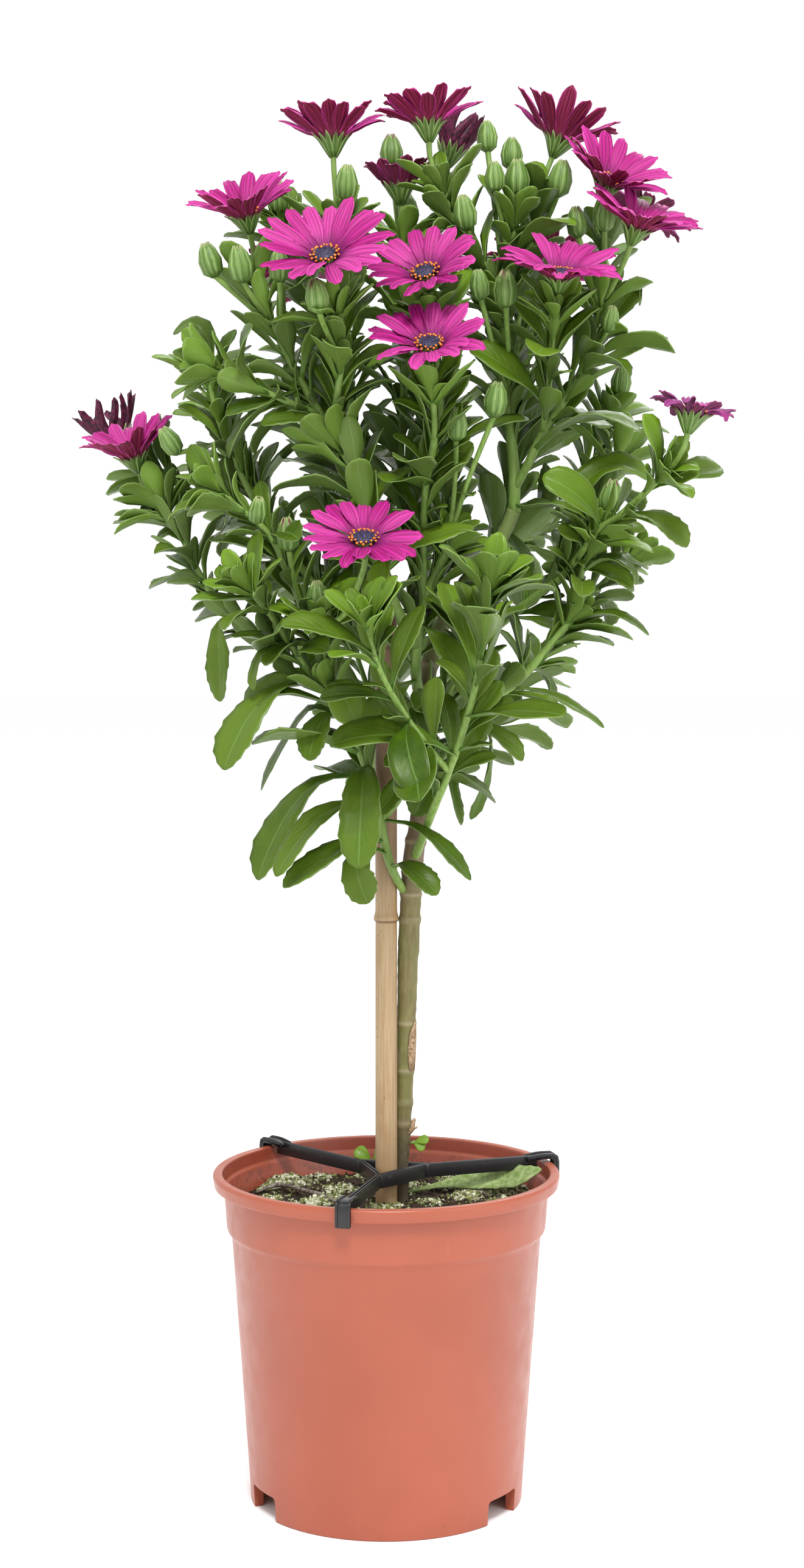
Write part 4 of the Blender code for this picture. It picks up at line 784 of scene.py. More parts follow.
def readCoords(obj):
    coords = np.empty(len(obj.data.vertices) * 3, np.float32)
    obj.data.vertices.foreach_get("co", coords)
    return coords.reshape(-1, 3).astype(float)


def writeCoords(obj, coords):
    obj.data.vertices.foreach_set("co", np.asarray(coords, np.float32).ravel())
    obj.data.update()


def setValue(obj, name, values):
    layer = obj.data.attributes.get(name) or obj.data.attributes.new(name, "FLOAT", "POINT")
    spread = np.empty(len(obj.data.vertices), np.float32)
    spread[:] = values
    layer.data.foreach_set("value", spread)


def finishSheet(obj, material, outline):
    # Gives the flat sheet its UV (across, along) and thickness, then narrows it to the outline.
    while obj.data.uv_layers:
        obj.data.uv_layers.remove(obj.data.uv_layers[0])
    sheet = obj.data.uv_layers.new(name="sheet")
    coords = readCoords(obj)
    corners = np.empty(len(obj.data.loops), np.int32)
    obj.data.loops.foreach_get("vertex_index", corners)
    uv = np.stack((coords[corners, 0] + .5, coords[corners, 1]), 1)
    sheet.data.foreach_set("uv", uv.astype(np.float32).ravel())
    solid = obj.modifiers.new("thickness", "SOLIDIFY")
    solid.thickness, solid.offset = sheetThick, -1
    applyModifiers(obj)
    coords = readCoords(obj)
    under = (coords[:, 2] < -sheetThick / 2).astype(float)
    setValue(obj, "under", under)
    setValue(obj, "tone", 0)
    setValue(obj, "young", 0)
    coords[:, 0] *= np.interp(coords[:, 1], [row[0] for row in outline], [row[1] for row in outline])
    writeCoords(obj, coords)
    obj.data.materials.append(material)
    smooth(obj)
    obj.hide_render = True
    return obj


leafOutline = [(0, .17), (.12, .18), (.22, .28), (.33, .55), (.44, .80), (.56, .95), (.69, 1), (.80, .97),
               (.88, .84), (.94, .62), (1, .14)]
toothedOutline = [(0, .17), (.12, .18), (.22, .27), (.33, .52), (.44, .76), (.54, .95), (.575, .90), (.67, 1.04),
                  (.705, .95), (.80, 1.02), (.835, .88), (.895, .82), (.925, .62), (.965, .48), (1, .10)]
shortOutline = [(0, .18), (.18, .24), (.36, .56), (.52, .86), (.68, 1), (.82, .93), (.93, .62), (1, .12)]


def sheetTemplate(name, columns, outline, material="leaf"):
    return finishSheet(grid(name, columns, [row[0] for row in outline]), finish[material], outline)


templates = {
    "plain": sheetTemplate("plainLeaf", 6, leafOutline),
    "toothed": sheetTemplate("toothedLeaf", 6, toothedOutline),
    "short": sheetTemplate("shortLeaf", 4, shortOutline),
    "fill": sheetTemplate("fillLeaf", 4, leafOutline),
}


def frameAlong(points, normals, wanted, have):
    # Smooth places, forward directions and upward directions at the wanted fractions.
    places = np.array([list(p) for p in throughStations(points, have, wanted)])
    ahead = np.gradient(places, np.asarray(wanted), axis=0)
    ahead /= np.linalg.norm(ahead, axis=1)[:, None] + 1e-9
    rises = np.array([list(n) for n in normals])
    rise = np.stack([np.interp(wanted, have, rises[:, k]) for k in range(3)], 1)
    side = np.cross(ahead, rise)
    side /= np.linalg.norm(side, axis=1)[:, None] + 1e-9
    rise = np.cross(side, ahead)
    return places, ahead, side, rise


def copied(template):
    obj = template.copy()
    obj.data = template.data.copy()
    bpy.context.scene.collection.objects.link(obj)
    obj.hide_render = False
    return obj


def laidLeaf(kind, line, normals, width, look, tone=.4, young=0.0):
    # A copy of a leaf template laid along its line of (point, fraction).
    template = templates[kind]
    obj = copied(template)
    unit = readCoords(template)
    wanted, row = np.unique(np.round(unit[:, 1], 4), return_inverse=True)
    places, _, side, rise = frameAlong([p for p, _ in line], normals, wanted, [t for _, t in line])
    across, along, under = unit[:, 0], unit[:, 1], unit[:, 2] < -sheetThick / 2
    size = min(1, width / 14)
    lift = look["fold"] * (1 - .5 * along) * np.abs(across) * width
    lift += look["wave"] * width * np.sin(along * look["waves"] + look["phase"] + np.sign(across)) * (across * 2) ** 2
    lift += look["twist"] * across * width * along
    lift += leafForm["keel"] * size * np.minimum(np.abs(across) * 2 / .34, 1) ** .7 * np.clip((1 - along) * 7, 0, 1)
    rib = np.clip(1 - np.abs(across) * 10, 0, 1) * .6 * size * np.clip((1 - along) * 3, .1, 1)
    lift -= under * (leafForm["thick"] * min(1, width / 12 + .25) + rib)
    coords = places[row] + side[row] * (across * width)[:, None] + rise[row] * lift[:, None]
    writeCoords(obj, coords * mm)
    setValue(obj, "tone", tone)
    setValue(obj, "young", young)
    return obj


def leafLook(draw):
    return {"fold": draw.uniform(.14, .50), "wave": draw.uniform(.03, .10), "waves": draw.uniform(5, 10),
            "phase": draw.uniform(0, 6), "twist": draw.uniform(-.32, .32)}


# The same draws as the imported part's, so that each leaf here lies over its solid.
def spoon(t):
    return leafForm["petiole"] + (1 - leafForm["petiole"]) * math.sin(math.pi * max(0, (t - .2) / .8) ** 1.5) ** .7


def leafLine(foot, along, rise, length, droop, rows):
    side = along.cross(rise).normalized()
    rise = side.cross(along).normalized()
    line, normals, point, last = [], [], foot.copy(), 0.0
    for t in rows:
        point = point + Quaternion(side, -droop * (t + last) / 2) @ along * length * (t - last)
        line.append((point, t))
        normals.append(Quaternion(side, -droop * t) @ rise)
        last = t
    return line, normals


def largeLeafLine(shoot, places, rows):
    points = [seat(p) for p in places]
    limbs = [p for limb in shoots[shoot][1] for p, _ in catmull([seat(q) for q in limb[0]], 2.0)]
    points[0] = min(limbs, key=lambda p: (p - points[0]).length)
    fine = catmull(points, 1.5)
    line = [fine[round(t * (len(fine) - 1))][0] for t in rows]
    out = (points[-1] - Vector((0, 0, points[-1].z))).normalized()
    return list(zip(line, rows)), [out * .55 + up * .83 - Vector((0, .35, 0))] * len(rows)


def shootLeaves(number, limbs):
    # For every leaf of a shoot: foot, the shoot's direction, azimuth, length, lean from the shoot, droop.
    made = []
    for which, (places, _, _, count, length) in enumerate(limbs):
        line = catmull([seat(p) for p in places], 2.0)
        first = .34 if which == 0 else .16
        for k in range(count):
            draw = random.Random(number * 1000 + which * 100 + k)
            share = first + (1 - first) * (k + .6 * draw.random()) / count
            spot = min(len(line) - 2, int(share * (len(line) - 1)))
            point, ahead = line[spot][0], (line[spot + 1][0] - line[spot][0]).normalized()
            across = ahead.orthogonal().normalized()
            turn = k * goldenAngle + draw.uniform(0, .5) + which
            long = length * draw.uniform(.82, 1.18) * (1 - .42 * share ** 3)
            lean = math.radians(draw.uniform(48, 66) - 30 * share ** 2)
            made.append((point, ahead, across, turn, long, lean, math.radians(draw.uniform(15, 75))))
    return made


def leaning(ahead, out, lean, lifted=True):
    # Which way a leaf runs that leans away from its shoot, and which way its face looks.
    along = (ahead * math.cos(lean) + out * math.sin(lean)).normalized()
    rise = (ahead * math.sin(lean) - out * math.cos(lean)).normalized()
    if lifted and rise.z < -.2:
        rise = (rise + up * .9).normalized()
    return along, rise

def leafTries(spec):
    point, ahead, across, turn, long, lean, droop = spec
    for swing, size, lift in ((0, 1, 0), (.5, 1, 0), (-.5, 1, 0), (0, .85, .3), (1.0, .85, 0),
                              (-1.0, .85, 0), (.3, .7, .4), (-.4, .65, .5), (2.2, .7, .2), (3.1, .6, .4)):
        out = Quaternion(ahead, turn + swing) @ across
        yield point, *leaning(ahead, out, lean - lift), long * size, droop


def surfaceTree(obj):
    mesh = obj.data
    return BVHTree.FromPolygons([v.co * 1000 for v in mesh.vertices], [p.vertices for p in mesh.polygons])


solidTrees = {name: surfaceTree(obj) for name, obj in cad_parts.items()}


def liesOn(tree, line, normals, width):
    # Whether the solid has this leaf: its tip and the sides of its last row are on the surface.
    spots = [line[-1][0]]
    for k in (len(line) - 2, len(line) - 3):
        ahead = (line[k + 1][0] - line[k - 1][0]).normalized()
        side = ahead.cross(normals[k]).normalized()
        half = width / 2 * spoon(line[k][1])
        spots += [line[k][0] - side * half, line[k][0] + side * half]
    misses = sum(tree.find_nearest(p)[3] > .35 for p in spots)
    return misses < 2


def bladeTree(line, normals, width):
    # A rough flat blade, for finding out what a leaf would run into.
    verts, faces = [], []
    for k, (point, t) in enumerate(line):
        ahead = (line[min(k + 1, len(line) - 1)][0] - line[max(k - 1, 0)][0]).normalized()
        side = ahead.cross(normals[k]).normalized()
        half = width / 2 * max(.1, spoon(t) if t < 1 else .1)
        verts += [point - side * half, point + side * half]
        if k:
            faces.append((2 * k - 2, 2 * k - 1, 2 * k + 1, 2 * k))
    return BVHTree.FromPolygons(verts, faces)


def insideBox(point):
    low, high = cadBox
    spare = fillLeaves["overBox"] * mm
    return all(low[k] - spare < point[k] * mm < high[k] + spare for k in range(3))


def kept(tree, taken):
    return not any(tree.overlap(other) for other in taken)


fillLeaves = {"every": 3.9, "size": (.40, .84), "lean": (18, 56), "droop": (-12, 55), "tries": 7, "overBox": 4.0,
              "below": 455, "sparse": 2.1, "front": (-.22, 600)}
tipTuft = {"leaves": 13, "size": (16, 36), "lean": (10, 54)}
hardNodes = [name for name in solidTrees if not name.startswith("stem_")]


# How far along a leaf its line is given, for a large leaf and for a small one.
longRows, shortRows = (0, .3, .56, .82, 1), (0, .4, .76, 1)


def growShoot(shoot, number, taken):
    # The leaves that the solid has.
    tree, leaves = solidTrees[shoot], []
    for owner, places, width in largeLeaves:
        if owner != shoot:
            continue
        line, normals = largeLeafLine(shoot, places, longRows)
        draw = random.Random(str(places))
        look = leafLook(draw)
        look["fold"] *= .8
        leaves.append(laidLeaf("toothed", line, normals, width, look, draw.uniform(.1, .7), draw.uniform(0, .15)))
        taken.append(bladeTree(line, normals, width))
    for k, spec in enumerate(shootLeaves(number, shoots[shoot][1])):
        rows = longRows if spec[4] > 70 else shortRows
        for foot, along, rise, long, droop in leafTries(spec):
            line, normals = leafLine(foot, along, rise, long, droop, rows)
            width = long * leafForm["width"]
            if liesOn(tree, line, normals, width):
                draw = random.Random(number * 100 + k)
                kind = "toothed" if draw.random() < .55 else "plain"
                leaves.append(laidLeaf(kind, line, normals, width * leafForm["spread"], leafLook(draw),
                                       draw.uniform(0, .8), max(0, draw.uniform(-.3, .45))))
                taken.append(bladeTree(line, normals, width))
                break
    return leaves


def fillShoot(shoot, taken):
    # Smaller leaves between those, and a tuft at each tip.
    leaves = []
    for which, (places, footRadius, _, _, length) in enumerate(shoots[shoot][1]):
        line = catmull([seat(p) for p in places], 1.0)
        first = .30 if which == 0 else .10
        stop = len(line) - 2
        spot, k = int(first * stop), 0
        while spot < stop:
            draw = random.Random(f"{shoot} {which} {k}")
            share = spot / stop
            point, ahead = line[spot][0], (line[spot + 1][0] - line[spot][0]).normalized()
            across = ahead.orthogonal().normalized()
            for attempt in range(fillLeaves["tries"]):
                turn = k * goldenAngle + attempt * 1.1 + draw.uniform(0, .5)
                long = length * draw.uniform(*fillLeaves["size"]) * (1 - .1 * attempt) * (1 - .35 * share ** 3)
                lean = math.radians(draw.uniform(*fillLeaves["lean"]) - 14 * share)
                out = Quaternion(ahead, turn) @ across
                along, rise = leaning(ahead, out, lean)
                droop = math.radians(draw.uniform(*fillLeaves["droop"]))
                if along.y < fillLeaves["front"][0] and point.z < fillLeaves["front"][1] and draw.random() < .75:
                    continue
                reach, normals = leafLine(point + out * footRadius * .5, along, rise, long, droop, longRows)
                width = long * leafForm["width"] * draw.uniform(.95, 1.25)
                blade = bladeTree(reach[1:], normals[1:], width)
                if insideBox(reach[-1][0]) and kept(blade, taken):
                    kind = "short" if long < 34 else "fill"
                    leaves.append(laidLeaf(kind, reach, normals, width, leafLook(draw),
                                           draw.uniform(0, 1), max(0, draw.uniform(-.4, .5) + .5 * share ** 3
                                                                   + (point.z - 560) / 500)))
                    taken.append(blade)
                    break
            step = fillLeaves["every"] * (fillLeaves["sparse"] if point.z < fillLeaves["below"] else 1)
            spot += max(1, int(step * draw.uniform(.7, 1.3)))
            k += 1
        # young leaves round the tip
        tip, ahead = line[-2][0], (line[-1][0] - line[-3][0]).normalized()
        across = ahead.orthogonal().normalized()
        for k in range(tipTuft["leaves"]):
            draw = random.Random(f"{shoot} {which} tuft {k}")
            share = k / tipTuft["leaves"]
            long = tipTuft["size"][1] + (tipTuft["size"][0] - tipTuft["size"][1]) * share
            long *= draw.uniform(.8, 1.2)
            for attempt in range(4):
                lean = math.radians((tipTuft["lean"][1] + (tipTuft["lean"][0] - tipTuft["lean"][1]) * share)
                                    * draw.uniform(.7, 1.25))
                out = Quaternion(ahead, k * goldenAngle + attempt * .9 + draw.uniform(0, .4)) @ across
                along = (ahead * math.cos(lean) + out * math.sin(lean)).normalized()
                rise = (ahead * math.sin(lean) - out * math.cos(lean)).normalized()
                reach, normals = leafLine(tip - ahead * 5 * (1 - share), along, rise, long,
                                          math.radians(draw.uniform(-10, 40)), longRows)
                width = long * leafForm["width"] * draw.uniform(1.0, 1.3)
                blade = bladeTree(reach[2:], normals[2:], width)
                if insideBox(reach[-1][0]) and kept(blade, taken):
                    leaves.append(laidLeaf("short", reach, normals, width, leafLook(draw),
                                           draw.uniform(.3, .9), draw.uniform(.35, 1)))
                    taken.append(blade)
                    break
    return leaves


petalForm = {"more": 3, "columns": 6, "wide": .93, "crowd": 1.5, "overlap": .55, "curl": 2.6, "cup": (-1.0, 1.0),
             "ridge": .7}
petalOutline = [(0, .42), (.12, .54), (.27, .78), (.44, .95), (.58, 1), (.72, .97), (.84, .87), (.93, .70), (1, .40)]
bractOutline = [(0, .62), (.25, .95), (.5, 1), (.74, .78), (1, .06)]
wiltedBlooms = ("bloom_03", "bloom_16")
fadedBlooms = {"bloom_06": .55, "bloom_12": .35, "bloom_17": .8}


def petalTemplate():
    obj = sheetTemplate("petal", petalForm["columns"], petalOutline, "petal")
    coords = readCoords(obj)
    # three soft teeth at the tip
    tip = np.clip((coords[:, 1] - .88) / .12, 0, 1)
    share = np.abs(coords[:, 0]) / .24
    coords[:, 1] -= tip * (.032 * share ** 2 + .013 * (np.abs(share - .66) < .2))
    writeCoords(obj, coords)
    return obj


templates["petal"] = petalTemplate()
templates["bract"] = sheetTemplate("bract", 4, bractOutline, "bract")


def bloomFrame(name):
    foot, look = blooms[name][2:4]
    turn = Vector(look).normalized().to_track_quat("Z", "X")
    return Matrix.Translation(seat(foot)) @ turn.to_matrix().to_4x4()


def petalPlaces(name, rows):
    # For each petal: its azimuth and, row by row, (distance out, height, half width, slope).
    count, length, lift, arch = blooms[name][4:8]
    count += petalForm["more"]
    draw = random.Random(name)
    petals = []
    for k in range(count):
        angle = 2 * math.pi * k / count
        slope = math.radians(lift + draw.uniform(-7, 7) + (4 if k % 2 else -4))
        long, bend = length * draw.uniform(.93, 1.04), math.radians(arch + draw.uniform(-6, 6))
        out, high, last, stations = bloomForm["hubRadius"], 0.0, 0.0, []
        for t in rows:
            pitch = slope - bend * (t + last) / 2
            out, high = out + long * (t - last) * math.cos(pitch), high + long * (t - last) * math.sin(pitch)
            half = min(bloomForm["rayWide"] / 2 * petalForm["wide"],
                       math.pi * max(out, 2) / count * petalForm["crowd"])
            stations.append((out, high, half, slope - bend * t))
            last = t
        petals.append((angle, stations))
    return petals


def bloomPetals(name):
    wilted, faded = name in wiltedBlooms, fadedBlooms.get(name, 0)
    template = templates["petal"]
    unit = readCoords(template)
    across, along, under = unit[:, 0], unit[:, 1], unit[:, 2] < -sheetThick / 2
    rows = np.array([row[0] for row in petalOutline])
    lift = bloomForm["calyxTall"] + bloomForm["gap"] + bloomForm["hubTall"] / 2
    whole = bloomFrame(name) @ Matrix.Translation((0, 0, lift))
    turn, shift = np.array(whole.to_3x3()), np.array(whole.translation)
    axis, made = np.array([0, 0, 1]), []
    # each petal's root reaches in over the hub
    for k, (angle, stations) in enumerate(petalPlaces(name, list(rows * 1.10 - .10))):
        draw = random.Random(f"{name} petal {k}")
        reach, high, half, slope = (np.interp(along, rows, values) for values in np.array(stations).T)
        out = np.array([math.cos(angle), math.sin(angle), 0])
        side = np.array([-math.sin(angle), math.cos(angle), 0])
        rise = axis[None] * np.cos(slope)[:, None] - out[None] * np.sin(slope)[:, None]
        cup = draw.uniform(1.5, 3.5) if wilted else draw.uniform(*petalForm["cup"])
        level = cup * (across * 2) ** 2 * np.clip(along * 1.6, 0, 1)
        ridges = np.cos(across * 6 * math.pi) * np.clip(along * 3, 0, 1) * np.clip((1.05 - along) * 6, .2, 1)
        level += petalForm["ridge"] * ridges
        level += draw.uniform(-.5, .5) * np.sin(along * draw.uniform(4, 8) + draw.uniform(0, 6)) * along
        level += petalForm["overlap"] * across * 2 * np.clip(along * 3, .3, 1) * np.clip((1.1 - along) * 3, .2, 1)
        level += draw.uniform(-1.2, 1.2) * across * along ** 2 * 2
        level -= draw.uniform(-.2, 1) * (1 + faded) * petalForm["curl"] * np.clip((along - .62) / .38, 0, 1) ** 2
        level -= under * (.40 - .2 * along)
        breadth = half * 2 * draw.uniform(.95, 1.04) * (1 - .2 * faded)
        sideways = draw.uniform(-1.6, 1.6) * along ** 2
        if wilted:
            breadth = breadth * (1 - .55 * along)
            sideways = sideways + 2.4 * np.sin(along * 5 + k)
        coords = out[None] * reach[:, None] + axis[None] * high[:, None] \
            + side[None] * (across * breadth + sideways)[:, None] + rise * level[:, None]
        obj = copied(template)
        writeCoords(obj, (coords @ turn.T + shift) * mm)
        setValue(obj, "tone", draw.uniform(0, .8))
        setValue(obj, "young", faded * draw.uniform(.7, 1.2))
        if wilted:
            obj.data.materials[0] = finish["wilted"]
        made.append(obj)
    return standsFor(joined(name + "_petals", made), "rays", name + "_rays")


def floretTemplate():
    deselectAll()
    bpy.ops.mesh.primitive_cone_add(vertices=5, radius1=.42, radius2=.5, depth=1, end_fill_type="TRIFAN")
    obj = added("floret")
    selectVerts(obj, lambda co: co.z > .4 and co.xy.length < .1)
    bpy.ops.transform.translate(value=(0, 0, -.28))
    leaveEdit()
    obj.data.materials.append(finish["floret"])
    smooth(obj, 50)
    obj.hide_render = True
    return obj


def budTemplate(name, radius, material):
    deselectAll()
    bpy.ops.mesh.primitive_ico_sphere_add(subdivisions=1, radius=radius)
    obj = added(name)
    obj.data.materials.append(material)
    smooth(obj)
    obj.hide_render = True
    return obj


templates["floret"] = floretTemplate()
templates["anther"] = budTemplate("anther", 1, finish["anther"])


def placed(kind, matrix):
    # A copy of a template with the matrix (in millimetres) in its mesh.
    obj = copied(templates[kind])
    obj.data.transform(Matrix.Scale(mm, 4) @ matrix)
    return obj


eyeForm = {"florets": 52, "outer": 26, "ring": (5.9, 7.4), "anther": .72, "dome": 1.7}


def bloomEye(name):
    draw = random.Random(name + " eye")
    low = bloomForm["calyxTall"] + 2 * bloomForm["gap"] + bloomForm["hubTall"]
    whole = bloomFrame(name) @ Matrix.Translation((0, 0, low))
    radius = bloomForm["eyeRadius"]
    deselectAll()
    bpy.ops.mesh.primitive_uv_sphere_add(segments=20, ring_count=10, radius=1)
    dome = added("dome")
    wide = radius * .92
    dome.data.transform(Matrix.Scale(mm, 4) @ whole @ Matrix.Diagonal((wide, wide, eyeForm["dome"], 1)))
    dome.data.materials.append(finish["floret"])
    smooth(dome)
    made = [dome]
    for k in range(eyeForm["florets"]):
        share = math.sqrt((k + .5) / eyeForm["florets"])
        spot = polar(radius * .86 * share, math.degrees(k * goldenAngle), 1.5 * math.cos(share * 1.35) + .1)
        tilt = Vector((spot.x, spot.y, radius * 1.1)).to_track_quat("Z", "Y").to_matrix().to_4x4()
        size, tall = .62 + .35 * share, .8 + .9 * share * draw.uniform(.8, 1.1)
        stand = whole @ Matrix.Translation(spot) @ tilt @ Matrix.Diagonal((size, size, tall, 1))
        made.append(placed("floret", stand))
    # the outer florets are open: they lean over the petals, each with a ball of pollen
    for k in range(eyeForm["outer"]):
        angle = 360 * (k + draw.uniform(-.25, .25)) / eyeForm["outer"]
        ring = eyeForm["ring"][k % 2] * draw.uniform(.95, 1.04)
        foot, head = polar(4.2, angle, .6), polar(ring, angle, draw.uniform(1.1, 2.0) - .5 * (k % 2))
        tilt = (head - foot).to_track_quat("Z", "Y").to_matrix().to_4x4()
        made.append(placed("floret", whole @ Matrix.Translation((foot + head) / 2) @ tilt
                           @ Matrix.Diagonal((.8, .8, (head - foot).length, 1))))
        size = eyeForm["anther"] * draw.uniform(.8, 1.2)
        made.append(placed("anther", whole @ Matrix.Translation(head) @ Matrix.Diagonal((size, size, size * 1.1, 1))))
    return standsFor(joined(name + "_florets", made), "eye", name + "_eye")


def bractRing(matrix, count, meridian, breadth, draw, first=0.0, tone=0.0, young=0.0, thick=.5):
    # Bracts stood round an axis: `meridian` is a list of (radius, height), `breadth` their width.
    template = templates["bract"]
    unit = readCoords(template)
    rows = np.linspace(0, 1, len(meridian))
    line = np.array(meridian, float)
    turn, shift = np.array(matrix.to_3x3()), np.array(matrix.translation)
    slope = np.gradient(line, axis=0)
    slope /= np.linalg.norm(slope, axis=1)[:, None]
    made = []
    for k in range(count):
        obj = copied(template)
        angle = first + 2 * math.pi * (k + draw.uniform(-.12, .12)) / count
        across, along, under = unit[:, 0], unit[:, 1], unit[:, 2] < -sheetThick / 2
        stretch = draw.uniform(.93, 1.04)
        radius = np.interp(along * stretch, rows, line[:, 0])
        high = np.interp(along * stretch, rows, line[:, 1])
        outR, outZ = np.interp(along, rows, slope[:, 1]), -np.interp(along, rows, slope[:, 0])
        level = .45 * (1 - (across * 2) ** 2) * thick / .5 - under * thick + (k % 2) * .3
        out = np.array([math.cos(angle), math.sin(angle), 0])
        side = np.array([-math.sin(angle), math.cos(angle), 0])
        width = across * breadth
        bulge = np.cos(width / np.maximum(radius, 1.5))
        sway = np.sin(np.clip(width / np.maximum(radius, 1.5), -1.2, 1.2)) * np.maximum(radius, 1.5)
        coords = out[None, :] * (radius * np.maximum(bulge, .3) + outR * level)[:, None] \
            + side[None, :] * sway[:, None] + np.array([0, 0, 1])[None, :] * (high + outZ * level)[:, None]
        writeCoords(obj, (coords @ turn.T + shift) * mm)
        setValue(obj, "tone", tone + draw.uniform(0, .5))
        setValue(obj, "young", young * draw.uniform(.8, 1.1))
        made.append(obj)
    return made


def stalkPlaces(foot, head, look):
    start, end = seat(foot), seat(head)
    reach = (end - start).length
    return [start, start.lerp(end - look * reach * .5, .55), end - look * min(8, reach * .3), end]


def turnedTo(look, at):
    return Matrix.Translation(at) @ look.to_track_quat("Z", "X").to_matrix().to_4x4()


def calyx(foot, head, look, name):
    # The stalk's line, and the ring of bracts that cups the bloom.
    draw = random.Random(name + " calyx")
    tall, wide = bloomForm["calyxTall"], bloomForm["calyxRadius"]
    line = [p for p, _ in catmull(stalkPlaces(foot, head, look), 5)]
    line += [line[-1] + look * tall * share for share in (.3, .6, 1.0, 1.16)]
    count = len(line) - 4
    radii = [1.4 + .35 * (k / count) ** 3 for k in range(count)] + [2.6, 3.7, wide * .84, wide * .8]
    at = turnedTo(look, seat(head))
    # the bracts' tips lie along the petals
    slope = math.radians(blooms[name][6] - .08 * blooms[name][7])
    edge = Vector((7.2, 8.2))
    ahead = Vector((math.cos(slope), math.sin(slope)))
    meridian = [(1.7, -.6), (3.2, 1.5), (4.7, 3.8), (6.0, 6.0), tuple(edge), tuple(edge + ahead * 2.6),
                tuple(edge + ahead * 5.2)]
    bracts = bractRing(at, 13, meridian, 3.1, draw, tone=.6)
    return (line, radii), bracts


def budPieces(foot, centre, size, name):
    draw = random.Random(name)
    look = ((seat(centre) - seat(foot)).normalized() + up * 1.5).normalized()
    tall, wide = budForm["tall"] * size, budForm["radius"] * size * .95
    low = seat(centre) - look * tall
    start = seat(foot)
    sag = Vector((draw.uniform(-2, 2), draw.uniform(-2, 2), 0))
    line = [p for p, _ in catmull([start, start.lerp(low, .5) + sag, low], 5)]
    radii = [1.3 + .35 * (k / len(line)) ** 3 for k in range(len(line))]
    for share, part in ((.12, .42), (.35, .78), (.7, .88), (1.1, .85), (1.5, .66), (1.85, .34), (2.02, .08)):
        line.append(low + look * tall * share)
        radii.append(wide * part * .93)
    at = turnedTo(look, low)
    shape = ((.2, -.02), (.60, .08), (.86, .36), (.95, .78), (.88, 1.18), (.68, 1.56), (.44, 1.84), (.22, 2.06))
    meridian = [(wide * r, tall * z) for r, z in shape]
    young = draw.uniform(.1, .75)
    bracts = bractRing(at, budForm["bracts"], meridian, wide * .66, draw, tone=draw.choice((0, 0, .5)), young=young,
                       thick=.6)
    bracts += bractRing(at, budForm["bracts"] - 1, [(r * .93, z * 1.02) for r, z in meridian], wide * .6, draw,
                        first=.3, young=young, thick=.5)
    return (line, radii), bracts


def limbTubes(shoot):
    lines = []
    for places, footRadius, tipRadius, *_ in shoots[shoot][1]:
        line = catmull([seat(p) for p in places], 5)
        draw = random.Random(shoot + str(places[0]))
        radii = [(footRadius + (tipRadius - footRadius) * t) * (1 + draw.uniform(-.06, .08)) for _, t in line]
        lines.append(([p for p, _ in line], radii))
    return lines


hairForm = {"every": 2.4, "each": 3, "long": (.5, 1.0), "thick": .05, "upTo": 2.1}


def hairs(name, lines):
    # Short white hairs on the stalks and the young stems, each a thin three-sided spike.
    draw, verts, faces = random.Random(name), [], []
    for points, radii in lines:
        for k in range(len(points) - 1):
            ahead = points[k + 1] - points[k]
            steps = max(1, round(ahead.length / hairForm["every"]))
            ahead.normalize()
            if radii[k] > hairForm["upTo"]:
                continue
            for _ in range(steps * hairForm["each"]):
                t = draw.random()
                out = Quaternion(ahead, draw.uniform(0, 2 * math.pi)) @ ahead.orthogonal().normalized()
                root = points[k].lerp(points[k + 1], t) + out * (radii[k] * .9)
                tip = root + (out + ahead * draw.uniform(.1, .8)) * draw.uniform(*hairForm["long"])
                side, rise = out.cross(ahead) * hairForm["thick"], ahead * hairForm["thick"]
                n = len(verts)
                verts += [root + side, root - side * .5 + rise * .87, root - side * .5 - rise * .87, tip]
                faces += [(n, n + 1, n + 2), (n, n + 3, n + 1), (n + 1, n + 3, n + 2), (n + 2, n + 3, n)]
    obj = closed(meshObject(name, verts, [], faces))
    obj.data.materials.append(finish["hair"])
    return obj


def dressShoot(shoot):
    lines, leafy = limbTubes(shoot), []
    for name, (owner, foot, head, look, *_) in blooms.items():
        if owner == shoot:
            line, bracts = calyx(foot, head, Vector(look).normalized(), name)
            lines.append(line)
            leafy += bracts
    for k, (owner, foot, centre, size) in enumerate(buds):
        if owner == shoot:
            line, bracts = budPieces(foot, centre, size, f"bud {k}")
            lines.append(line)
            leafy += bracts
    stems = tubes(shoot + "_stems", lines, 3)
    stems.data.materials.append(finish["stem"])
    smooth(stems)
    return [stems, hairs(shoot + "_hairs", lines)] + leafy


trunkLook = {"rings": (206, 218, 235.5, 262, 319, 333, 345, 362, 384, 405, 430, 458, 482, 508),
             "ring": .7, "rough": .22, "lumps": .55, "sides": 9, "flake": (236, 264, -20), "stub": (200, 209)}


def scarAt(z, wide=1.6):
    return sum(math.exp(-((z - ring) / wide) ** 2) for ring in trunkLook["rings"])


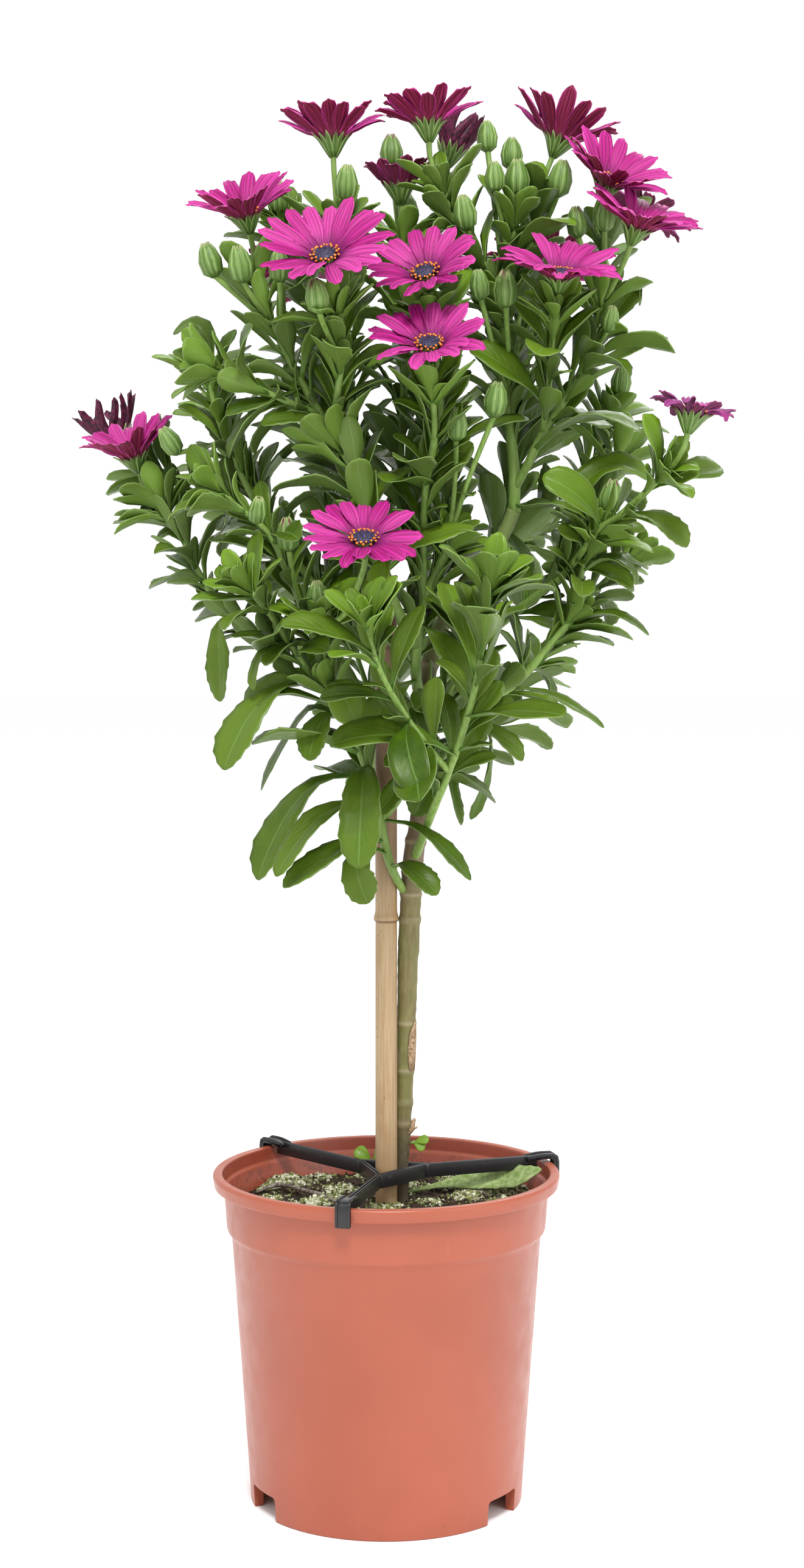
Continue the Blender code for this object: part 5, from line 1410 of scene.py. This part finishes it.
def makeTrunk():
    line = catmull([seat(p) for p in trunk["points"]], 1.6)
    fractions = [k / (len(trunk["radii"]) - 1) for k in range(len(trunk["radii"]))]
    radii = []
    for point, t in line:
        radius = np.interp(t, fractions, trunk["radii"])
        radius += trunkLook["ring"] * scarAt(point.z)
        radii.append(radius)
    obj = tubes("trunkBark", [([p for p, _ in line], radii)], trunkLook["sides"])
    coords, normals = readCoords(obj), np.empty(len(obj.data.vertices) * 3, np.float32)
    obj.data.vertices.foreach_get("normal", normals)
    push = [noise.fractal(Vector((x, y, z * .3)) * 420, .8, 2, 4) * trunkLook["rough"]
            + max(0, noise.noise(Vector((x, y, z * .8)) * 230)) * trunkLook["lumps"] for x, y, z in coords]
    writeCoords(obj, coords + normals.reshape(-1, 3) * np.array(push)[:, None] * mm)
    setValue(obj, "ring", [scarAt(z / mm, .9) for _, _, z in coords])
    obj.data.materials.append(finish["bark"])
    smooth(obj)
    # a flake of peeling bark, and the stub of a dead side shoot
    low, high, azimuth = trunkLook["flake"]
    middle = Vector((10.6, 4.6, 0))
    ring = [(5.2, low), (5.6, low + 6), (5.9, low + 14), (6.3, low + 22), (7.0, high)]
    flake = bractRing(Matrix.Translation(middle), 1, ring, 6.5, random.Random(3),
                      first=math.radians(azimuth), thick=.35)
    low, high = trunkLook["stub"]
    stub = tubes("stub", [([Vector((11.4, 4.2, low)), Vector((14, 3.4, low + 3)), Vector((15.4, 3.2, high))],
                           (1.6, 1.5, .9)),
                          ([Vector((14, 3.4, low + 3)), Vector((17, 2.6, low + 4.5))], (1.1, .5))], 3)
    for piece in (*flake, stub):
        piece.data.materials.clear()
        piece.data.materials.append(finish["scar"])
    return standsFor(joined("trunkBark", [obj, *flake, stub]), "bark", "trunk")


caneLook = {"radius": 6, "low": 30, "top": 506, "nodes": (320, 470), "swelling": .9, "wall": 1.6, "hollow": 8}


def makeCane():
    heights, z = [], caneLook["low"]
    while z < caneLook["top"]:
        heights.append(z)
        close = min(abs(z - n) for n in caneLook["nodes"])
        z += .5 if close < 4 else (1.5 if close < 9 else 9)
    heights.append(caneLook["top"])
    points, radii = [], []
    for z in heights:
        points.append(Vector((0, 0, z)))
        radius = caneLook["radius"] - .15 * (z - 165) / 340
        for n in caneLook["nodes"]:
            radius += caneLook["swelling"] * math.exp(-((z - n) / 2.6) ** 2)
            radius -= .7 * math.exp(-((z - n + 2.2) / .7) ** 2)
        radii.append(radius)
    obj = tubes("caneBamboo", [(points, radii)], 14)
    # the cut top is hollow
    selectVerts(obj, lambda co: co.z > (caneLook["top"] - .1) * mm)
    bpy.ops.mesh.select_mode(type="FACE")
    bpy.ops.mesh.inset(thickness=caneLook["wall"] * mm)
    bpy.ops.mesh.extrude_region_move(TRANSFORM_OT_translate={"value": (0, 0, -caneLook["hollow"] * mm)})
    leaveEdit()
    obj.data.materials.append(finish["cane"])
    smooth(obj, 40)
    return standsFor(obj, "cane", "cane")


potForm = {"turns": 144, "rim": (95, 181.2, 5.4), "lip": (94, 173.6), "collar": (89, 87.2, 150.5), "ledge": 2.6,
           "slope": 3.4, "base": (75.4, 13.7), "foot": 74.6, "wall": 2, "floor": 2.4, "footWall": 5,
           "gapAngle": 20, "gapLong": 34, "gapTall": 18.6, "gapSoft": 2.2, "firstGap": 327.3, "drain": (46, 5)}


def makePot():
    p = potForm
    rimR, rimTop, rimWide = p["rim"]
    lipR, lipLow = p["lip"]
    collarTop, collarLow, collarZ = p["collar"]
    baseR, baseZ = p["base"]
    profile = [(0, baseZ), (p["foot"] - p["footWall"], baseZ), (p["foot"] - p["footWall"], 0), (p["foot"], 0),
               (baseR, baseZ), (collarLow - p["ledge"], collarZ - p["slope"]), (collarLow, collarZ),
               (collarTop, lipLow), (lipR, lipLow), (rimR, rimTop - 1.5), (rimR - 1, rimTop),
               (rimR - rimWide, rimTop), (rimR - rimWide - .8, lipLow), (collarTop - p["wall"], lipLow - 2),
               (collarLow - p["wall"], collarZ - .5), (collarLow - p["ledge"] - p["wall"], collarZ - 3),
               (baseR - p["wall"], baseZ + p["floor"]),
               (0, baseZ + p["floor"])]
    corners = {2: 1, 3: 1.2, 4: 1.2, 6: 1.2, 7: 1.2, 8: 1.2, 9: 1.2, 10: 1.6, 11: 1.4, 12: 1}
    obj = lathe("potShell", rounded(profile, corners, 4), p["turns"])
    obj.data.materials.append(finish["pot"])
    return obj


def innerWall(x, y, z):
    # 1 on the inside of the pot, 0 on its outside.
    p = potForm
    heights = (p["base"][1], p["collar"][2], p["collar"][2] + 1, p["lip"][1], p["lip"][1] + 1, p["rim"][1])
    outer = np.interp(z, heights, (p["base"][0], p["collar"][1] - p["ledge"], p["collar"][1], p["collar"][0],
                                   p["lip"][0], p["rim"][0]))
    return float(p["base"][1] + 1 < z < p["rim"][1] - .6 and math.hypot(x, y) < outer - p["wall"] * .6)


def makeFeetGaps(pot):
    p = potForm
    for k in range(3):
        middle = p["firstGap"] + 120 * k
        deselectAll()
        bpy.ops.mesh.primitive_cube_add(size=1)
        cutter = added("footGap")
        reach = p["foot"] + 5
        half = reach * math.sin(math.radians(p["gapAngle"] / 2))
        cutter.data.transform(Matrix.Rotation(math.radians(middle), 4, "Z")
                              @ Matrix.Translation(((reach - 8) * mm, 0, 4 * mm))
                              @ Matrix.Diagonal((p["gapLong"] * mm, 2 * half * mm, p["gapTall"] * mm, 1)))
        bevel = cutter.modifiers.new("soft", "BEVEL")
        bevel.width, bevel.segments = p["gapSoft"] * mm, 3
        applyModifiers(cutter)
        cut = pot.modifiers.new("gap", "BOOLEAN")
        cut.object, cut.operation, cut.solver = cutter, "DIFFERENCE", "EXACT"
        applyModifiers(pot)
        bpy.data.objects.remove(cutter)
        deselectAll()
        bpy.ops.mesh.primitive_cylinder_add(vertices=24, radius=p["drain"][1] * mm, depth=.03)
        cutter = added("drain")
        cutter.data.transform(Matrix.Translation(polar(p["drain"][0], middle, p["base"][1]) * mm))
        cut = pot.modifiers.new("drain", "BOOLEAN")
        cut.object, cut.operation, cut.solver = cutter, "DIFFERENCE", "EXACT"
        applyModifiers(pot)
        bpy.data.objects.remove(cutter)
    setValue(pot, "inner", [innerWall(*co) for co in readCoords(pot) / mm])
    smooth(pot, 38)
    return standsFor(pot, "pot", "pot")


soilForm = {"crown": 163.5, "bend": (50, 162.4), "edge": (85.5, 160), "rough": 1.5, "rings": 70, "steps": 190}
mounds = [((-57.6, 50), 22, 7.5, 1), ((-26, 29), 15, 3.5, .9), ((-39, -1), 15, 2.5, .9), ((-30, 8), 12, 2, .8),
          ((59, 35), 28, 8, .95), ((74, 28), 14, 5, .9), ((24, 0), 11, 1.5, 1), ((44, 14), 15, 2, .8),
          ((10, 40), 18, 3, .6), ((-5, 70), 20, 4, .8), ((-66, 14), 12, 2, .8), ((66, 4), 14, 2.5, .8),
          ((0, -10), 14, .8, .7), ((-12, 8), 9, 1, .7), ((40, 62), 16, 3, .8), ((-40, 66), 14, 3, .7)]


def ground(x, y):
    r = math.hypot(x, y)
    (bend, bendZ), (edge, edgeZ) = soilForm["bend"], soilForm["edge"]
    if r < bend:
        return soilForm["crown"] + (bendZ - soilForm["crown"]) * r / bend
    return bendZ + (edgeZ - bendZ) * (r - bend) / (edge - bend)


def soilTop(x, y):
    z = ground(x, y)
    mossy = 0.0
    for (mx, my), wide, high, share in mounds:
        near = math.exp(-((x - mx) ** 2 + (y - my) ** 2) / (wide * .62) ** 2)
        z += high * near * .8
        mossy = max(mossy, share * min(1, near * 1.5))
    edge = min(1, (86.5 - math.hypot(x, y)) / 6)
    z += edge * soilForm["rough"] * noise.fractal(Vector((x, y, 0)) * .16, .75, 2.1, 6)
    return z, mossy


def makeSoil():
    f = soilForm
    deselectAll()
    radius = f["edge"][0]
    profile = [(0, 20), (72, 20)] + [(72 + (radius - 72) * k / 6, 20 + 138 * k / 6) for k in range(1, 7)]
    profile += [(radius * (1 - k / f["rings"]), 165) for k in range(f["rings"] + 1)]
    obj = lathe("soilBody", profile, f["steps"])
    coords = readCoords(obj)
    moss = np.zeros(len(coords))
    for k, (x, y, z) in enumerate(coords / mm):
        if z > 164.9:
            high, moss[k] = soilTop(x, y)
            coords[k, 2] = high * mm
    writeCoords(obj, coords)
    setValue(obj, "moss", moss)
    obj.data.materials.append(finish["soil"])
    smooth(obj)
    return obj


crumbs = {"each": 1500, "size": (.45, 1.5), "within": 84, "clear": 7.5}


def scatterCrumbs(kind, weigh):
    # Crumbs on the soil: `weigh` gives the chance of one at a place.
    draw = random.Random(kind)
    template = templates[kind]
    unit = readCoords(template)
    faces = np.array([list(p.vertices) for p in template.data.polygons])
    verts, made = [], 0
    reach, clear, count = crumbs["within"], crumbs["clear"], crumbs["each"]
    while made < count:
        x, y = draw.uniform(-reach, reach), draw.uniform(-reach, reach)
        if math.hypot(x, y) > reach or math.hypot(x, y) < clear or draw.random() > weigh(x, y):
            continue
        z = soilTop(x, y)[0]
        size = draw.uniform(*crumbs["size"]) * draw.uniform(.6, 1.1)
        turn = np.array(Quaternion(Vector((draw.uniform(-1, 1), draw.uniform(-1, 1), 1)).normalized(),
                                   draw.uniform(0, 6.3)).to_matrix())
        shape = unit * np.array([draw.uniform(.6, 1.5), draw.uniform(.6, 1.4), draw.uniform(.5, 1.1)]) * size
        verts.append(shape @ turn.T + np.array([x, y, z + size * .2]))
        made += 1
    allFaces = (faces[None] + (np.arange(count) * len(unit))[:, None, None]).reshape(-1, faces.shape[1])
    obj = meshObject(kind + "Crumbs", np.concatenate(verts), [], allFaces.tolist())
    obj.data.materials.append(finish[kind])
    smooth(obj, 60)
    return obj


def mossAt(x, y):
    return soilTop(x, y)[1]


# The tie: where it meets the middle stem, its height, and how far from the axis of each its cord runs.
tieForm = {"stem": (19.5, 486, -12), "height": 487, "roundCane": 7.5, "roundStem": 4.5, "cord": .62,
           "turns": (-.6, .7), "wander": .5, "steps": 28}


def makeTie():
    # Turns of cord round the cane and the middle stem.
    stem, lines = seat(tieForm["stem"]), []
    foot = Vector((stem.x, stem.y, 0))
    ahead = foot.normalized()
    side = Vector((-ahead.y, ahead.x, 0))
    for level in tieForm["turns"]:
        loop = []
        for k in range(tieForm["steps"] + 1):
            a = 2 * math.pi * k / tieForm["steps"]
            out = ahead * math.cos(a) + side * math.sin(a)
            spot = out * tieForm["roundCane"] if math.cos(a) < 0 else foot + out * tieForm["roundStem"]
            loop.append(spot + up * (tieForm["height"] + level + tieForm["wander"] * math.sin(a * 2)))
        lines.append((loop, [tieForm["cord"]] * len(loop)))
    obj = tubes("tieCord", lines, 3)
    obj.data.materials.append(finish["plastic"])
    smooth(obj)
    return standsFor(obj, "tie", "tie")


clipForm = {"arms": (14.0, 136.0, 257.0), "middle": (1.2, 3.1), "ring": 21.5, "tall": 8.0, "thick": 2.9,
            "taper": .86, "top": 183.2, "reach": 86.0, "groove": (1.2, 2.4), "bevel": .22,
            "rise": 2.1, "hook": 8.0, "web": 1.5,
            "bend": [(80, 182.9), (83, 183.5), (86.2, 184.1), (90, 184.35), (94.4, 184.3), (96.1, 183.4),
                     (96.5, 181), (96.5, 171.8)]}


def softened(obj, width, segments=2):
    bevel = obj.modifiers.new("soft", "BEVEL")
    bevel.width, bevel.segments = width * mm, segments
    applyModifiers(obj)
    obj.data.materials.append(finish["plastic"])
    smooth(obj, 40)
    return obj


def clipBar(a, b, top, tall, rise=0.0):
    # A bar with a groove along its top.
    deselectAll()
    bpy.ops.mesh.primitive_cube_add(size=mm)
    obj = added("clipBar")
    long = (b - a).length
    obj.data.transform(Matrix.Diagonal((long, clipForm["thick"], tall, 1)))
    selectVerts(obj, lambda co: co.z > 0)
    bpy.ops.transform.resize(value=(1, clipForm["taper"], 1))
    bpy.ops.mesh.select_mode(type="FACE")
    wide, deep = clipForm["groove"]
    bpy.ops.mesh.inset(thickness=(clipForm["thick"] * clipForm["taper"] - wide) / 2 * mm)
    bpy.ops.mesh.extrude_region_move(TRANSFORM_OT_translate={"value": (0, 0, -deep * mm)})
    leaveEdit()
    coords = readCoords(obj)
    coords[:, 2] += np.clip(coords[:, 0] / (long * mm) + .5, 0, 1) * rise * mm
    writeCoords(obj, coords)
    middle = (a + b) / 2
    turn = Matrix.Rotation(math.atan2(b.y - a.y, b.x - a.x), 4, "Z")
    obj.data.transform(Matrix.Translation(Vector((middle.x, middle.y, top - tall / 2)) * mm) @ turn)
    return softened(obj, clipForm["bevel"])


def clipHook(angle):
    # A strap bent over the rim, with a web along each edge.
    made, half = [], clipForm["hook"] / 2
    for low, high, thick, drop in ((-half, half, 2.3, 0), (-half, -half + clipForm["web"], 3.4, .4),
                                   (half - clipForm["web"], half, 3.4, .4)):
        mesh = bpy.data.meshes.new("strap")
        verts = [(r * mm, y * mm, (z + drop) * mm) for r, z in clipForm["bend"] for y in (low, high)]
        mesh.from_pydata(verts, [], [(k, k + 1, k + 3, k + 2) for k in range(0, len(verts) - 2, 2)])
        obj = bpy.data.objects.new("strap", mesh)
        bpy.context.scene.collection.objects.link(obj)
        solid = obj.modifiers.new("thickness", "SOLIDIFY")
        solid.thickness, solid.offset = thick * mm, 0
        obj.data.transform(Matrix.Rotation(math.radians(angle), 4, "Z"))
        applyModifiers(obj)
        made.append(softened(obj, .5))
    return made


def makeClip():
    c = clipForm
    middle = Vector((*c["middle"], 0))
    corners = [middle + polar(c["ring"], a) for a in c["arms"]]
    made = []
    for k, angle in enumerate(c["arms"]):
        made.append(clipBar(corners[k], corners[(k + 1) % 3], c["top"] - .12 * k, c["tall"] - .1 * k))
        made.append(clipBar(corners[k].lerp(middle, .06), polar(c["reach"], angle), c["top"] - .3, c["tall"] - .6,
                            c["rise"]))
        made += clipHook(angle)
        # a boss at each corner of the collar
        deselectAll()
        bpy.ops.mesh.primitive_cylinder_add(vertices=20, radius=2.4 * mm, depth=(c["tall"] - 1) * mm,
                                            location=(corners[k] + up * (c["top"] - c["tall"] / 2 - .1)) * mm)
        made.append(softened(added("boss"), .5))
    return standsFor(joined("clipMoulding", made), "clip", "clip")


litter = {"twig": [(-73, 31, 0), (-66, 31, 2.2), (-59, 30, 3), (-48, 18, 2.6), (-38, 7, 1.8), (-30, -1, .8),
                   (-22, -8, 0)],
          "twigRadii": (.8, 1.2, 1.4, 1.1, 1.3, .9, .7), "leafWidth": 15.5,
          "seedling": (-8, 24), "sprout": (13.3, 4.6, 195)}


def makeTwig():
    spots = [Vector((x, y, ground(x, y) + r + z + .4)) for (x, y, z), r in zip(litter["twig"], litter["twigRadii"])]
    line = catmull(spots, 1.5)
    draw = random.Random(8)
    shares = np.linspace(0, 1, len(spots))
    radii = [np.interp(t, shares, litter["twigRadii"]) * draw.uniform(.88, 1.15) for _, t in line]
    nub = line[len(line) // 3][0]
    obj = tubes("twigWood", [([p for p, _ in line], radii),
                             ([nub, nub + Vector((1.5, 2.5, 1.4)), nub + Vector((2, 5.5, 2.2))], (.9, .7, .35))], 4)
    obj.data.materials.append(finish["twig"])
    smooth(obj)
    return standsFor(obj, "twig", "twig")


def makeFallenLeaf():
    rows = longRows
    foot = Vector((10, 22, ground(10, 22) + .3))
    points = [foot, *map(Vector, ((33, 25, 167.5), (52, 23, 170), (66, 16, 172.4), (78, 8, 177), (85, 4, 180.5)))]
    fine = catmull(points, 1.5)
    line = [(fine[round(t * (len(fine) - 1))][0], t) for t in rows]
    look = {"fold": .12, "wave": .075, "waves": 11, "phase": 1.3, "twist": .1}
    tilt = [Vector((.1, -share, .8)) for share in (.1, .55, .75, .7, .5)]
    obj = laidLeaf("toothed", line, tilt, litter["leafWidth"], look, 1.0, .75)
    obj.name = obj.data.name = "fallenLeafBlade"
    obj.data.materials[0] = finish["fadedLeaf"]
    return standsFor(obj, "fallen_leaf", "fallen_leaf")


def leafPair(name, node, foot, stalk, start, leaves, width):
    # A short stalk and two young leaves: each as (direction, length, droop).
    stem = tubes(name, [([foot, foot.lerp(foot + stalk, .5), foot + stalk], (.95, .85, .9))], 3)
    stem.data.materials.append(finish["stem"])
    smooth(stem)
    made = [stem]
    for ahead, long, droop in leaves:
        line, normals = leafLine(foot + start, Vector(ahead).normalized(), Vector((0, -.9, .5)), long, droop,
                                  (0, .38, .76, 1))
        look = {"fold": .2, "wave": .05, "waves": 6, "phase": long, "twist": .05}
        made.append(laidLeaf("short", line, normals, width, look, .8, .9))
    return standsFor(joined(name, made), "green", node)


def makeYoungLeaves():
    x, y = litter["seedling"]
    pair = [(polar(1, angle) + up * .9, 12, .5) for angle in (186, 30)]
    leafPair("seedlingLeaves", "seedling", Vector((x, y, ground(x, y) + .3)), up * 18, up * 17, pair, 8.2)
    leafPair("sproutLeaves", "trunk_sprout", Vector(litter["sprout"]), Vector((2.4, -.6, 1)), Vector((1.4, -.35, .6)),
             [((1, -.2, .32), 9, .3), ((.95, -.5, -.42), 7.5, .3)], 5.4)


makeTrunk()
makeCane()
makeTie()
makeClip()
makeTwig()
makeFallenLeaf()
makeYoungLeaves()
makeFeetGaps(makePot())
print("trunk, cane, tie, clip, pot and small pieces made")

templates["peatCrumb"] = budTemplate("peatCrumb", 1, finish["peatCrumb"])
templates["mossCrumb"] = budTemplate("mossCrumb", 1, finish["mossCrumb"])
templates["lichenCrumb"] = budTemplate("lichenCrumb", 1, finish["lichenCrumb"])
soilPieces = [makeSoil(),
              scatterCrumbs("peatCrumb", lambda x, y: 1.0 - .8 * mossAt(x, y)),
              scatterCrumbs("mossCrumb", lambda x, y: mossAt(x, y)),
              scatterCrumbs("lichenCrumb", lambda x, y: mossAt(x, y) ** 2 + .03)]
standsFor(joined("soilSurface", soilPieces), "soil", "soil")
print("soil made")

for name in blooms:
    bloomPetals(name)
    if name + "_eye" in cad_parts:
        bloomEye(name)
print("blooms made")

taken = [solidTrees[name] for name in hardNodes if name not in ("soil",)]
dressed = {shoot: dressShoot(shoot) + growShoot(shoot, number, taken)
           for number, shoot in enumerate(shoots)}
print("solid leaves", {shoot: len(pieces) for shoot, pieces in dressed.items()}, "blades", len(taken))
for shoot in shoots:
    pieces = dressed[shoot] + fillShoot(shoot, taken)
    standsFor(joined(shoot + "_leafy", pieces), "green", shoot)
print("shoots made, blades", len(taken))

for template in templates.values():
    bpy.data.objects.remove(template)


# A pale floor and sky, large soft lamps, and the camera.
def addLamp(name, place, size, power, aim=(0, 0, .45)):
    lamp = bpy.data.lights.new(name, "AREA")
    lamp.shape, lamp.size, lamp.energy = "DISK", size, power
    obj = bpy.data.objects.new(name, lamp)
    obj.location = place
    obj.rotation_euler = (Vector(aim) - Vector(place)).to_track_quat("-Z", "Y").to_euler()
    bpy.context.scene.collection.objects.link(obj)


deselectAll()
bpy.ops.mesh.primitive_plane_add(size=24)
floor = added("floor")
paper, _, shader = startMaterial("paper", 1, Specular_IOR_Level=0)
shader.inputs["Base Color"].default_value = (.985, .985, .985, 1)
floor.data.materials.append(paper)
world = bpy.data.worlds.new("studio")
bpy.context.scene.world = world
world.use_nodes = True
world.node_tree.nodes["Background"].inputs["Color"].default_value = (1, 1, 1, 1)
world.node_tree.nodes["Background"].inputs["Strength"].default_value = 1.0
addLamp("key", (.1, -1.7, 2.5), .8, 62)
addLamp("fill", (1.9, -1.4, 1.3), 1.4, 11)
addLamp("back", (.6, 1.7, 2.0), 1.2, 16)

lens = bpy.data.cameras.new("view")
lens.lens, lens.sensor_fit = camera["lens"], "VERTICAL"
lens.sensor_width = lens.sensor_height = camera["film"]
view = bpy.data.objects.new("view", lens)
view.location = camera["place"] * mm
view.rotation_euler = (math.pi / 2 - camera["down"], 0, 0)
bpy.context.scene.collection.objects.link(view)
bpy.context.scene.camera = view
bpy.context.scene.view_settings.view_transform = "Standard"

triangles = {obj.name: sum(len(p.vertices) - 2 for p in obj.data.polygons) for obj in bpy.context.scene.objects
             if obj.type == "MESH" and obj.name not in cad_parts}
print("triangles", sum(triangles.values()), "most", max(triangles.values()))
